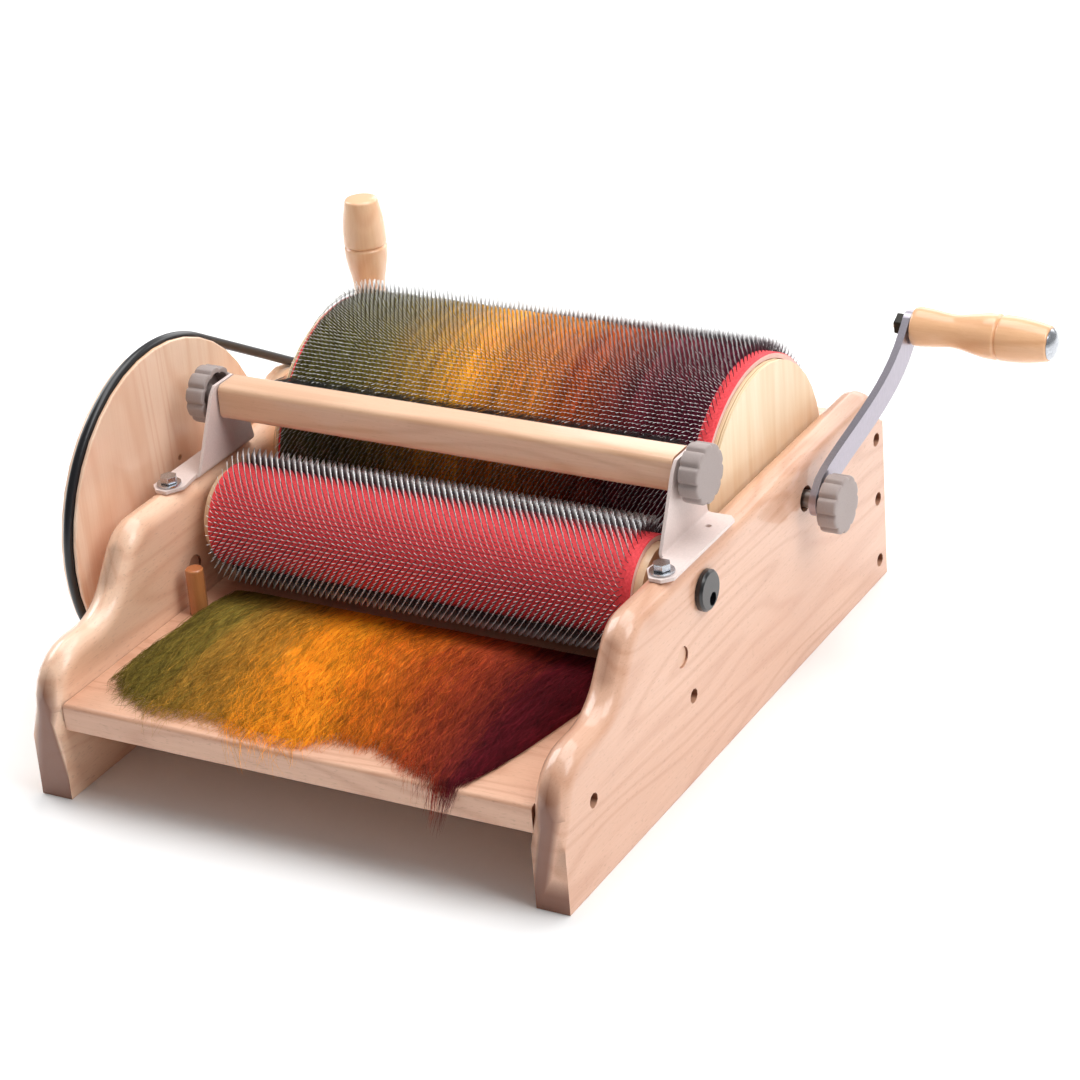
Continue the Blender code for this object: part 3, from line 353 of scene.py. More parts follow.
# --- Bearings and eccentric bushes ----------------------------------------------------------
# Sintered bronze bearings sit in the panels for the main axle. The licker-in turns in black
# acetal bushes whose bores are off centre, so turning a bush sets the gap between the drums.
sintered_bronze = plated("sintered_bronze", "#6B5140", 0.5, 0.8, 0.6)
for node in ("main_bearing_left", "main_bearing_right"):
    finish_node(node, sintered_bronze)


def moulded(name, colour, roughness, grain_mm, gloss, grain=0.15):
    """Moulded or sprayed finish: a faint orange peel in the surface and in the colour."""
    return grained(name, colour, [grain_mm] * 3, 0.7, 0.25, grain, 0.3, roughness=roughness,
                   ior=1.49, coat_weight=gloss, coat_roughness=0.15)


black_acetal = moulded("black_acetal_bush", "#141417", 0.28, 0.9, 0.4)
for node in ("eccentric_bush_left", "eccentric_bush_right"):
    finish_node(node, black_acetal, 0.3 * MM)

# --- Main drum ------------------------------------------------------------------------------
# A hollow drum of birch plywood: two turned end discs and a body, on a steel axle. The face
# veneer is pale and close-grained, and the turned rim shows the plies edge on.
PLY_MM = 1.5


def birch_plywood(name):
    """Sealed birch plywood: pale veneer with long soft figure, and dark glue lines on the edge."""
    material, tree, shader = new_surface(name, roughness=0.48, ior=1.5, coat_weight=0.15,
                                         coat_roughness=0.25)
    place = add_node(tree, "TexCoord")
    across = add_node(tree, "Mapping", {"Vector": place.outputs["Object"],
                                        "Scale": (1000 / 30, 1000 / 9, 1000 / 140)})
    figure = add_node(tree, "TexNoise", {"Vector": across.outputs["Vector"], "Scale": 1.0,
                                         "Detail": 3.0, "Distortion": 0.4})
    veneer = add_node(tree, "ValToRGB", {"Fac": figure.outputs["Fac"]},
                      ((0.3, "#FFEACB"), (0.7, "#F3D6AE")))
    parts = add_node(tree, "SeparateXYZ", {"Vector": place.outputs["Object"]})
    plies = add_node(tree, "Math", {0: parts.outputs["X"], 1: PLY_MM * MM}, operation="PINGPONG")
    edge = add_node(tree, "MapRange", {"Value": plies.outputs["Value"], "From Max": PLY_MM * MM,
                                       "From Min": 0.0})
    layers = add_node(tree, "ValToRGB", {"Fac": edge.outputs["Result"]},
                      ((0.0, "#9C7448"), (0.25, "#E6C79C"), (0.8, "#F4DDB8"), (1.0, "#C79C6B")))
    facing = add_node(tree, "SeparateXYZ", {"Vector": place.outputs["Normal"]})
    flat = add_node(tree, "Math", {0: facing.outputs["X"]}, operation="ABSOLUTE")
    on_rim = add_node(tree, "Math", {0: flat.outputs["Value"], 1: 0.7}, operation="LESS_THAN")
    colour = add_node(tree, "Mix", {0: on_rim.outputs["Value"], 6: veneer.outputs["Color"],
                                    7: layers.outputs["Color"]}, data_type="RGBA")
    tree.links.new(colour.outputs[2], shader.inputs["Base Color"])
    relief = add_node(tree, "Bump", {"Height": figure.outputs["Fac"], "Strength": 0.05,
                                     "Distance": 0.0004})
    tree.links.new(relief.outputs["Normal"], shader.inputs["Normal"])
    return material


drum_plywood = birch_plywood("sealed_birch_plywood")
for node in ("main_drum_core", "drum_end_left", "drum_end_right"):
    finish_node(node, drum_plywood, 0.5 * MM)

# --- Card clothing on both drums ------------------------------------------------------------
# Card clothing is a strip of felted red foundation nailed round each drum and set with rows of
# fine steel wire teeth, staggered row by row. Each wire stands up to a knee and then hooks.
DRUM_WIRE_MM, LICKER_WIRE_MM = 0.42, 0.55
# From row to row round the drum, and from tooth to tooth along a row
DRUM_TOOTH_PITCH_MM, LICKER_TOOTH_PITCH_MM = (2.6, 3.2), (2.5, 4.4)


def axis_of(node):
    """Y and Z of the axle that a turned node sits on."""
    low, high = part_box(node)
    return (low.y + high.y) / 2, (low.z + high.z) / 2


MID_X = sum(corner.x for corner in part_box("feed_tray")) / 2
DRUM_AXIS, LICKER_AXIS = axis_of("main_drum_core"), axis_of("licker_in_core")
DRUM_BARE = 86.0 * MM
LICKER_BARE = 29.5 * MM
FOUNDATION = 4.0 * MM
DRUM_CLOTH_HALF, LICKER_CLOTH_HALF = 155 * MM, 152.5 * MM
DRUM_TEETH_HALF, LICKER_TEETH_HALF = 151 * MM, 148 * MM
# A wire starts inside the foundation, and its height is counted from there
WIRE_ROOT = 0.5 * MM
DRUM_WIRE_HEIGHT, LICKER_WIRE_HEIGHT = 11.3 * MM, 11.0 * MM
DRUM_HOOK, LICKER_HOOK = 2.0 * MM, -1.6 * MM
TEETH_STAND = 11 * MM


def round_points(axis, radius, angle, x):
    """Points round an axle; angle 0 points to the back and grows upwards."""
    return np.stack([x, axis[0] + radius * np.cos(angle), axis[1] + radius * np.sin(angle)], -1)


def strands(name, paths, radii):
    """One mesh of fine three-sided wires or fibres, each through its own row of points."""
    count, steps = paths.shape[:2]
    along = np.gradient(paths, axis=1)
    along /= np.linalg.norm(along, axis=2, keepdims=True) + 1e-12
    side = np.cross(along, np.array((1.0, 0.11, 0.07)))
    side /= np.linalg.norm(side, axis=2, keepdims=True) + 1e-12
    up = np.cross(side, along)
    turns = 2 * np.pi * np.arange(3) / 3
    spokes = (np.cos(turns)[:, None] * side[:, :, None, :]
              + np.sin(turns)[:, None] * up[:, :, None, :])
    verts = paths[:, :, None, :] + np.asarray(radii)[None, :, None, None] * spokes
    first = (np.arange(count)[:, None, None] * steps + np.arange(steps - 1)[None, :, None]) * 3
    corner = np.arange(3)[None, None, :]
    after = (corner + 1) % 3
    quads = np.stack([first + corner, first + after, first + 3 + after, first + 3 + corner], -1)
    ends = (np.arange(count) * steps + steps - 1)[:, None] * 3 + np.arange(3)
    mesh = bpy.data.meshes.new(name)
    mesh.from_pydata(verts.reshape(-1, 3).tolist(), [],
                     quads.reshape(-1, 4).tolist() + ends.tolist())
    mesh.polygons.foreach_set("use_smooth", [True] * len(mesh.polygons))
    return mesh


def wire_teeth(name, axis, foot, height, half_width, pitch, wire, arc, lean, unevenness, seed):
    """Staggered rows of kneed wires over an arc of a drum. Use has bent them a little:
    lean is how far a hook carries, and unevenness how much that and the rows vary."""
    draw = np.random.RandomState(seed)
    start, end = arc
    rows = round((end - start) * foot / (pitch[0] * MM))
    columns = int(2 * half_width / (pitch[1] * MM))
    row, column = np.meshgrid(np.arange(rows), np.arange(columns), indexing="ij")
    angle = (start + (end - start) * (row + 0.5) / rows).ravel()
    x = ((column + 0.25 + 0.5 * (row % 2)) / columns * 2 - 1).ravel() * half_width
    x = MID_X + x + draw.normal(0, 0.3 * unevenness * MM, x.size)
    hook = lean * (1 + unevenness * draw.normal(0, 1, x.size))
    top = height * (1 + draw.normal(0, 0.012, x.size).clip(-0.03, 0.0))
    places = [round_points(axis, foot, angle, x),
              round_points(axis, foot + 0.5 * top, angle - 0.35 * hook / foot, x),
              round_points(axis, foot + top, angle + hook / (foot + height), x
                           + draw.normal(0, 2.5 * unevenness * MM, x.size))]
    return strands(name, np.stack(places, 1), np.array((0.5, 0.5, 0.4)) * wire * MM)


def skin(name, rings, looped, sharp_degrees):
    """A closed surface through rings of points. The last ring joins the first if looped, or
    else the ends are capped. A ring of one point is a pole."""
    sides = max(len(ring) for ring in rings)
    shape = bmesh.new()
    loops = [[shape.verts.new(spot) for spot in ring] * (1 if len(ring) > 1 else sides)
             for ring in rings]
    for ring, after in zip(loops, loops[1:] + (loops[:1] if looped else [])):
        for k in range(sides):
            nxt = (k + 1) % sides
            corners = (ring[k], ring[nxt], after[nxt], after[k])
            shape.faces.new(list(dict.fromkeys(corners)))
    for end in (() if looped else (0, -1)):
        if len(rings[end]) > 1:
            shape.faces.new(loops[end])
    bmesh.ops.recalc_face_normals(shape, faces=shape.faces)
    mesh = bpy.data.meshes.new(name)
    shape.to_mesh(mesh)
    shape.free()
    smooth_off(mesh, sharp_degrees)
    return mesh


def foundation(name, axis, bare, half_width):
    """The strip of foundation wrapped round a drum, its long edges cut square."""
    steps = 128
    outer, inner = bare + FOUNDATION, bare + 0.25 * MM
    section = ((-half_width, inner), (-half_width, outer - 0.6 * MM),
               (-half_width + 0.6 * MM, outer), (half_width - 0.6 * MM, outer),
               (half_width, outer - 0.6 * MM), (half_width, inner))
    turns = [2 * math.pi * step / steps for step in range(steps)]
    rings = [[(MID_X + x, axis[0] + r * math.cos(turn), axis[1] + r * math.sin(turn))
              for x, r in section] for turn in turns]
    return skin(name, rings, True, 35)


def red_foundation(name):
    """Felted red foundation: matt and slightly fuzzy, with a woven backing seen at its cut edge."""
    material, tree, shader = new_surface(name, roughness=0.62, ior=1.45, specular_ior_level=0.3)
    place = add_node(tree, "TexCoord")
    felt = add_node(tree, "TexNoise", {"Vector": place.outputs["Object"], "Scale": 1000 / 1.6,
                                       "Detail": 3.0})
    cloth = add_node(tree, "ValToRGB", {"Fac": felt.outputs["Fac"]},
                     ((0.3, "#E63E46"), (0.7, "#FF585F")))
    facing = add_node(tree, "SeparateXYZ", {"Vector": place.outputs["Normal"]})
    flat = add_node(tree, "Math", {0: facing.outputs["X"]}, operation="ABSOLUTE")
    cut = add_node(tree, "MapRange", {"Value": flat.outputs["Value"], "From Min": 0.8,
                                      "From Max": 0.95})
    colour = add_node(tree, "Mix", {0: cut.outputs["Result"], 6: cloth.outputs["Color"],
                                    7: linear("#EFC9C2")}, data_type="RGBA")
    tree.links.new(colour.outputs[2], shader.inputs["Base Color"])
    relief = add_node(tree, "Bump", {"Height": felt.outputs["Fac"], "Strength": 0.3,
                                     "Distance": 0.0006})
    tree.links.new(relief.outputs["Normal"], shader.inputs["Normal"])
    return material


def tooth_wire_painted_shade_and_highlight(name, axis, foot, tip):
    """Hard-drawn steel wire: painted shade darkens it towards the foot, between the close-set
    teeth, and a painted highlight whitens the ground tips.
    """
    material, tree, shader = new_surface(name, metallic=0.6, roughness=0.36)
    place = add_node(tree, "TexCoord")
    flat = add_node(tree, "VectorMath", {0: place.outputs["Object"], 1: (0, 1, 1)},
                    operation="MULTIPLY")
    away = add_node(tree, "VectorMath", {0: flat.outputs["Vector"], 1: (0, *axis)},
                    operation="DISTANCE")
    height = add_node(tree, "MapRange", {"Value": away.outputs["Value"], "From Min": foot,
                                         "From Max": tip})
    # Painted shade near the foot, painted highlight at the tips.
    shade = add_node(tree, "ValToRGB", {"Fac": height.outputs["Result"]},
                     ((0.0, "#463E40"), (0.45, "#7E787C"), (0.8, "#FFFFFF")))
    tree.links.new(shade.outputs["Color"], shader.inputs["Base Color"])
    return material


foundation_red = red_foundation("felted_red_foundation")
drum_foot, licker_foot = DRUM_BARE + FOUNDATION, LICKER_BARE + FOUNDATION
drum_cloth = foundation("drum_foundation", DRUM_AXIS, DRUM_BARE, DRUM_CLOTH_HALF)
add_piece("drum_foundation", drum_cloth, foundation_red, "main_drum", "card_clothing",
          "main_card_cloth")
drum_wire_with_painted_shade = tooth_wire_painted_shade_and_highlight("drum_wire_painted_shade_and_highlight", DRUM_AXIS, drum_foot, drum_foot + TEETH_STAND)
for part in range(4):
    arc = (math.pi * part / 2, math.pi * (part + 1) / 2)
    teeth = wire_teeth(f"drum_teeth_{part + 1}", DRUM_AXIS, drum_foot - WIRE_ROOT,
                       DRUM_WIRE_HEIGHT, DRUM_TEETH_HALF, DRUM_TOOTH_PITCH_MM, DRUM_WIRE_MM,
                       arc, DRUM_HOOK, 0.16, 11 + part)
    add_piece(f"drum_teeth_{part + 1}", teeth, drum_wire_with_painted_shade, "main_drum", "card_clothing")
licker_cloth = foundation("licker_in_foundation", LICKER_AXIS, LICKER_BARE, LICKER_CLOTH_HALF)
add_piece("licker_in_foundation", licker_cloth, foundation_red, "licker_in", "card_clothing",
          "licker_in_card_cloth")
licker_wire_with_painted_shade = tooth_wire_painted_shade_and_highlight("licker_in_wire_painted_shade_and_highlight", LICKER_AXIS, licker_foot,
                         licker_foot + TEETH_STAND)
licker_teeth = wire_teeth("licker_in_teeth", LICKER_AXIS, licker_foot - WIRE_ROOT,
                          LICKER_WIRE_HEIGHT, LICKER_TEETH_HALF, LICKER_TOOTH_PITCH_MM,
                          LICKER_WIRE_MM, (0, 2 * math.pi), LICKER_HOOK, 0.04, 31)
add_piece("licker_in_teeth", licker_teeth, licker_wire_with_painted_shade, "licker_in", "card_clothing")

# --- Wool carded on to the main drum --------------------------------------------------------
# Dyed fleece lies between the teeth as an even batt, its fibres combed round the drum. It was
# fed in colour by colour, so the batt runs from olive through gold and rust to burgundy.
BATT_DYES = ((0.0, "#4A4624"), (0.12, "#66602E"), (0.2, "#74662C"), (0.28, "#A5812E"),
             (0.36, "#CC942C"), (0.44, "#F2AC30"), (0.5, "#D08426"), (0.58, "#CC7C28"),
             (0.68, "#B04E1C"), (0.76, "#8A3824"), (0.84, "#64202A"), (1.0, "#4A1024"))


def dyed_wool(name, dyes, fibre, gloss):
    """Dyed wool: the dye follows each lock across the batt, with ragged borders between them.
    Single fibres are drawn about ten times as coarse as real ones so that they show."""
    material, tree, shader = new_surface(name, roughness=0.8, ior=1.5, specular_ior_level=gloss)
    place = add_node(tree, "TexCoord")
    across = add_node(tree, "Attribute", attribute_name="across")
    lock = add_node(tree, "Mapping", {"Vector": place.outputs["Object"],
                                      "Scale": (1000 / 9, 1000 / 60, 1000 / 60)})
    stray = add_node(tree, "TexNoise", {"Vector": lock.outputs["Vector"], "Scale": 1.0,
                                        "Detail": 4.0, "Roughness": 0.6})
    spread = add_node(tree, "MapRange", {"Value": stray.outputs["Fac"], "From Min": 0.25,
                                         "From Max": 0.75, "To Min": -0.035, "To Max": 0.035})
    moved = add_node(tree, "Math", {0: across.outputs["Fac"], 1: spread.outputs["Result"]},
                     operation="ADD")
    dye = add_node(tree, "ValToRGB", {"Fac": moved.outputs["Value"]}, dyes)
    fine = add_node(tree, "Mapping", {"Vector": place.outputs["Object"], "Scale": fibre})
    fibres = add_node(tree, "TexNoise", {"Vector": fine.outputs["Vector"], "Scale": 1.0,
                                         "Detail": 3.0, "Roughness": 0.65})
    light = add_node(tree, "MapRange", {"Value": fibres.outputs["Fac"], "From Min": 0.3,
                                        "From Max": 0.7, "To Min": 0.45, "To Max": 1.3})
    paler = add_node(tree, "Attribute", attribute_name="paleness")
    both = add_node(tree, "Math", {0: light.outputs["Result"], 1: paler.outputs["Fac"]},
                    operation="MULTIPLY")
    shade = add_node(tree, "VectorMath", {0: dye.outputs["Color"], "Scale": both.outputs["Value"]},
                     operation="SCALE")
    tree.links.new(shade.outputs["Vector"], shader.inputs["Base Color"])
    relief = add_node(tree, "Bump", {"Height": fibres.outputs["Fac"], "Strength": 0.6,
                                     "Distance": 0.0012})
    tree.links.new(relief.outputs["Normal"], shader.inputs["Normal"])
    return material


def record_dye(mesh, across, paleness):
    """Keeps on each corner of a wool mesh which lock it belongs to and how pale it is."""
    for name, values in (("across", across), ("paleness", paleness)):
        layer = mesh.attributes.new(name, "FLOAT", "POINT")
        layer.data.foreach_set("value", np.asarray(values, np.float32))
    return mesh


def sheet_of(name, points):
    """One smooth surface through a grid of points."""
    rows, columns = points.shape[:2]
    index = np.arange(rows * columns).reshape(rows, columns)
    quads = np.stack([index[:-1, :-1], index[:-1, 1:], index[1:, 1:], index[1:, :-1]], -1)
    mesh = bpy.data.meshes.new(name)
    mesh.from_pydata(points.reshape(-1, 3).tolist(), [], quads.reshape(-1, 4).tolist())
    mesh.polygons.foreach_set("use_smooth", [True] * len(mesh.polygons))
    return mesh


def soft_noise(draw, shape, passes):
    """Random heights blurred along both directions, with unit spread."""
    field = draw.normal(0, 1, shape)
    for _ in range(passes):
        field = (field + np.roll(field, 1, 0) + np.roll(field, -1, 0)
                 + np.roll(field, 1, 1) + np.roll(field, -1, 1)) / 5
    return field / field.std()


BATT_LEFT, BATT_RIGHT = MID_X - 154 * MM, MID_X + 146 * MM
BATT_DEPTH = 2.6 * MM
batt_wool = dyed_wool("carded_dyed_wool", BATT_DYES,
                      (1000 / 1.1, 1000 / 22, 1000 / 22), 0.15)


def carded_batt():
    """The batt: a soft sleeve that thins out to nothing along its two edges."""
    draw = np.random.RandomState(5)
    around, across = 181, 121
    wobble = soft_noise(draw, (around, across), 2)
    wobble[-1] = wobble[0]
    part = np.linspace(0, 1, across)
    edge = np.clip(np.minimum(part, 1 - part) / 0.03, 0, 1) ** 0.5
    radius = drum_foot - 0.4 * MM + (BATT_DEPTH + 0.3 * MM * wobble) * edge
    angle = np.linspace(0, 2 * np.pi, around)
    grid_angle, grid_part = np.meshgrid(angle, part, indexing="ij")
    points = round_points(DRUM_AXIS, radius, grid_angle,
                          BATT_LEFT + (BATT_RIGHT - BATT_LEFT) * grid_part)
    mesh = sheet_of("carded_batt", points)
    streaks = 1.32 + 0.2 * draw.normal(0, 1, across) * np.ones((around, 1))
    return record_dye(mesh, grid_part.ravel(), streaks.clip(0.85, 1.8).ravel())


def combed_fibres(name, count, seed):
    """Loose fibres on the batt, combed round the drum by the licker-in's teeth."""
    draw = np.random.RandomState(seed)
    steps = 7
    start = draw.uniform(0, 2 * np.pi, count)
    where = draw.uniform(0.0, 1.0, count)
    length = draw.uniform(0.25, 0.75, count)
    part = np.linspace(0, 1, steps)
    angle = start[:, None] + length[:, None] * part
    drift = draw.normal(0, 1.6 * MM, count)[:, None] * part
    drift = drift + draw.normal(0, 0.35 * MM, (count, steps))
    lift = 0.3 * MM + draw.uniform(0, 2.0, count)[:, None] * MM * np.sin(np.pi * part)
    x = BATT_LEFT + (BATT_RIGHT - BATT_LEFT) * where[:, None] + drift
    paths = round_points(DRUM_AXIS, drum_foot + BATT_DEPTH - 0.4 * MM + lift, angle, x)
    mesh = strands(name, paths, np.array((0.3, 0.8, 1, 1, 1, 0.8, 0.2)) * 0.13 * MM)
    across = np.repeat(where + draw.normal(0, 0.02, count), steps * 3)
    return record_dye(mesh, across, np.repeat(draw.uniform(0.9, 1.9, count), steps * 3))


add_piece("carded_batt", carded_batt(), batt_wool, "main_drum", "wool")
add_piece("carded_batt_fibres", combed_fibres("carded_batt_fibres", 5200, 6), batt_wool,
          "main_drum", "wool")

# --- Licker-in and its drive ----------------------------------------------------------------
# The small drum is solid beech on a steel rod. A large beech pulley, its grain upright, is
# nutted to the rod outside the left panel, and a small one turns with the main axle.
core_beech = beech("turned_beech_core", "X", light="#F3D2AE", line="#DDAE84", end="#E2B68E")
finish_node("licker_in_core", core_beech, 0.5 * MM)
# The pulleys' beech is painted paler than the other turned beech: painted light on faces the drum
# shades.
pulley_beech_painted_light = beech("turned_beech_pulley_painted_light", "Z", light="#FFDEC4", line="#ECBA98", end="#EEC09A",
                     offset=5.1)
for node in ("large_pulley", "drive_pulley"):
    finish_node(node, pulley_beech_painted_light, 0.4 * MM)
zinc_plate = plated("bright_zinc_plate", "#C9CCD2", 0.24, 1.4, 0.5)
for node in ("large_pulley_nut_inner", "large_pulley_nut_outer", "drive_pulley_nut"):
    finish_node(node, zinc_plate, 0.35 * MM)
finish_node("large_pulley_washer", zinc_plate, 0.2 * MM)


STREAK_LENGTH_MM = 45


def drawn_steel(name, colour, roughness, along, streak_mm=0.5):
    """Drawn or linished steel: fine streaks along it blur what it reflects one way only."""
    spacing_mm = [streak_mm] * 3
    spacing_mm["XYZ".index(along)] = STREAK_LENGTH_MM
    return grained(name, colour, spacing_mm, 0.7, 0.4, 0.1, 0.2, metallic=1.0,
                   roughness=roughness)


shaft_steel = drawn_steel("drawn_steel_shaft", "#8E8A88", 0.32, "X")
for node in ("licker_in_shaft", "main_shaft"):
    finish_node(node, shaft_steel)

# --- Drive belt -----------------------------------------------------------------------------
# A round elastic belt of black polyurethane, heat-welded end to end, stretched over both
# pulleys. It gives a little when the bushes move the licker-in.
BELT_POINTS = (180, 60, 24)


def belt_mesh():
    belt_low, belt_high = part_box("drive_belt")
    plane = (belt_low.x + belt_high.x) / 2
    thick = (belt_high.x - belt_low.x) / 2
    large = Vector(LICKER_AXIS)
    small = Vector(DRUM_AXIS)
    large_radius, small_radius = large.x - belt_low.y - thick, belt_high.y - small.x - thick
    line = small - large
    level = math.atan2(line.y, line.x)
    opening = math.acos((large_radius - small_radius) / line.length)
    on_large, on_small, sides = BELT_POINTS
    path = []
    for centre, radius, first, last, steps in (
            (large, large_radius, level + opening, level + 2 * math.pi - opening, on_large),
            (small, small_radius, level - opening, level + opening, on_small)):
        path += [centre + radius * Vector((math.cos(a), math.sin(a)))
                 for a in np.linspace(first, last, steps)]
    rings = []
    for place, point in enumerate(path):
        run = (path[(place + 1) % len(path)] - path[place - 1]).normalized()
        outward = Vector((run.y, -run.x))
        rings.append([])
        for side in range(sides):
            turn = 2 * math.pi * side / sides
            spot = point + outward * thick * math.cos(turn)
            rings[-1].append((plane + thick * math.sin(turn), spot.x, spot.y))
    return skin("welded_drive_belt", rings, True, 60)


belt_rubber = moulded("black_polyurethane_belt", "#17171B", 0.3, 2.2, 0.2)
belt = bpy.data.objects.new("welded_drive_belt", belt_mesh())
belt.data.materials.append(belt_rubber)
scene.collection.objects.link(belt)
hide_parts("drive_belt")
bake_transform(belt)

# --- Crank ----------------------------------------------------------------------------------
# A flat linished steel arm with an S-bend, clamped on the main axle by a scalloped plastic
# knob over a stepped washer. Its turned beech handle spins on a bolt with a zinc end cap.
arm_steel = drawn_steel("linished_steel_arm", "#B4AEB8", 0.34, "Z", 0.8)
finish_node("crank_arm", arm_steel, 0.7 * MM)
finish_node("handle_nut", blackened_steel, 0.4 * MM)
finish_node("handle_bolt", zinc_plate)
finish_node("crank_washer", zinc_plate, 0.3 * MM)
# Distance along the handle and radius there, in mm
HANDLE_PROFILE = ((0, 11.4), (0.5, 12.3), (3, 12.9), (8, 12.6), (14, 12.1), (20, 11.3),
                  (27, 10.9), (34, 11.7), (42, 13.3), (49, 14.5), (56, 14.9), (61, 14.9),
                  (68, 14.8), (74, 14.4), (81, 13.5), (88, 12.2), (91, 11.5), (92, 10.7))
GROOVE_AT, GROOVE_DEPTH, GROOVE_WIDTH = 58.5, 1.5, 0.85


def along_curve(points, count):
    """Evenly spaced points on the smooth curve through a profile's points."""
    stops = np.array(points, float)
    knots = np.linspace(0, len(stops) - 1, count)
    before = np.clip(np.floor(knots).astype(int), 0, len(stops) - 2)
    t = (knots - before)[:, None]
    p0, p1 = stops[np.maximum(before - 1, 0)], stops[before]
    p2, p3 = stops[before + 1], stops[np.minimum(before + 2, len(stops) - 1)]
    return 0.5 * (2 * p1 + (p2 - p0) * t + (2 * p0 - 5 * p1 + 4 * p2 - p3) * t ** 2
                  + (3 * p1 - 3 * p2 + p3 - p0) * t ** 3)


def turned_handle(name, start, axis, domed):
    """A waisted handle turned in one piece, with one groove cut round it near the end."""
    profile = [(s, r - GROOVE_DEPTH * math.exp(-((s - GROOVE_AT) / GROOVE_WIDTH) ** 2))
               for s, r in along_curve(HANDLE_PROFILE, 150).tolist()]
    profile = [(0.0, 0.0), *profile]
    if domed:
        profile += [(92.6, 8.5), (92.9, 5.0), (93.0, 0.0)]
    else:
        profile += [(91.8, 0.0)]
    across = Vector((axis.y, axis.z, axis.x))
    other = axis.cross(across)
    steps = 64
    turns = [2 * math.pi * step / steps for step in range(steps)]
    rings = [[Vector(start) + axis * s * MM
              + r * MM * (across * math.cos(turn) + other * math.sin(turn))
              for turn in (turns if r else turns[:1])] for s, r in profile]
    return skin(name, rings, False, 50)


handle_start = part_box("crank_handle")[0].x
handle_axis = axis_of("crank_handle")
handle_beech = beech("turned_beech_handle", "X", light="#F4C092", line="#D89A6A", end="#DCA474",
                     offset=2.2)
crank_handle = turned_handle("turned_crank_handle", (handle_start, *handle_axis),
                             Vector((1, 0, 0)), False)
add_piece("turned_crank_handle", crank_handle, handle_beech, "crank_grip", slots["crank_handle"],
          "crank_handle")
KNOB_RADIUS, KNOB_LOBES = 19.0, 10
NOTCH_DEPTH, NOTCH_SHARE = 1.7, 0.2
# Each row: radius taken off the rim or, under the knob, a plain radius; height from the middle
KNOB_RIM = ((3.4, -6.5), (0.8, -6.5), (0.2, -6.1), (0.0, -5.4), (0.0, 5.0), (0.25, 5.8),
            (0.8, 6.35), (1.6, 6.5), (5.0, 6.5), (9.0, 6.3))
KNOB_UNDER = ((3.6, -7.9), (6.1, -7.9), (6.5, -7.5), (6.5, 3.0), (14.6, 3.0), (15.2, -5.8))


def scalloped_knob(name, centre, side):
    """A moulded knob: broad lobes parted by narrow notches, hollow underneath round its hub."""
    steps = 160
    outline = [[(radius, height)] * steps for radius, height in KNOB_UNDER]
    for inset, height in KNOB_RIM:
        fade = max(0.0, 1 - inset / 9.0)
        outline.append([])
        for step in range(steps):
            lobe = (KNOB_LOBES * step / steps) % 1.0
            notch = math.exp(-((min(lobe, 1 - lobe)) / NOTCH_SHARE) ** 2 * 2.5)
            outline[-1].append((KNOB_RADIUS - inset - NOTCH_DEPTH * notch * fade, height))
    rings = [[(centre[0] + side * height * MM,
               centre[1] + radius * MM * math.cos(2 * math.pi * step / steps),
               centre[2] + radius * MM * math.sin(2 * math.pi * step / steps))
              for step, (radius, height) in enumerate(ring)] for ring in outline]
    return skin(name, rings, False, 40)


taupe_nylon = moulded("taupe_nylon_knob", "#A49692", 0.5, 0.8, 0.08, 0.25)
for node, side in (("crank_knob", 1), ("brush_knob_left", -1), ("brush_knob_right", 1)):
    low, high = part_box(node)
    face = high.x if side == 1 else low.x
    knob = scalloped_knob("moulded_" + node, (face - side * 6.5 * MM, *axis_of(node)), side)
    add_piece("moulded_" + node, knob, taupe_nylon, bodies[node], slots[node], node)

# --- Packing brush --------------------------------------------------------------------------
# A beech bar carries rows of black nylon bristles that press the batt down between the teeth.
# It hangs on studs between two folded steel brackets in taupe enamel, bolted to the panels.
bar_beech = beech("lacquered_beech_bar", "X", light="#E9BE9C", line="#D09C78", end="#B98868",
                  offset=7.9)
finish_node("brush_bar", bar_beech)
taupe_enamel = moulded("taupe_enamel_bracket", "#EAD8D2", 0.42, 1.2, 0.2, 0.1)
for node in ("brush_bracket_left", "brush_bracket_right"):
    finish_node(node, taupe_enamel, 0.3 * MM, 25)
for side in ("left", "right"):
    finish_node(f"bracket_bolt_{side}", zinc_plate, 0.4 * MM)
    finish_node(f"bracket_washer_{side}", zinc_plate, 0.25 * MM)
    finish_node(f"brush_washer_{side}", zinc_plate, 0.2 * MM)
    finish_node(f"brush_stud_{side}", zinc_plate)


def nylon_bristles(name):
    """Nylon monofilament: glossy black, with a little grey where the cut tips are flagged."""
    material, tree, shader = new_surface(name, roughness=0.38, ior=1.53)
    place = add_node(tree, "TexCoord")
    tufts = add_node(tree, "TexNoise", {"Vector": place.outputs["Object"], "Scale": 1000 / 3.5})
    tone = add_node(tree, "ValToRGB", {"Fac": tufts.outputs["Fac"]},
                    ((0.35, "#0B0B0C"), (0.7, "#242325")))
    tree.links.new(tone.outputs["Color"], shader.inputs["Base Color"])
    return material


# Height of the lowest row and rise from row to row, at the bar and at the tips, in mm
BRISTLE_ROOTS_MM, BRISTLE_TIPS_MM = (178.0, 1.9), (170.3, 2.5)
CLEAR_OF_TEETH = 12.2 * MM


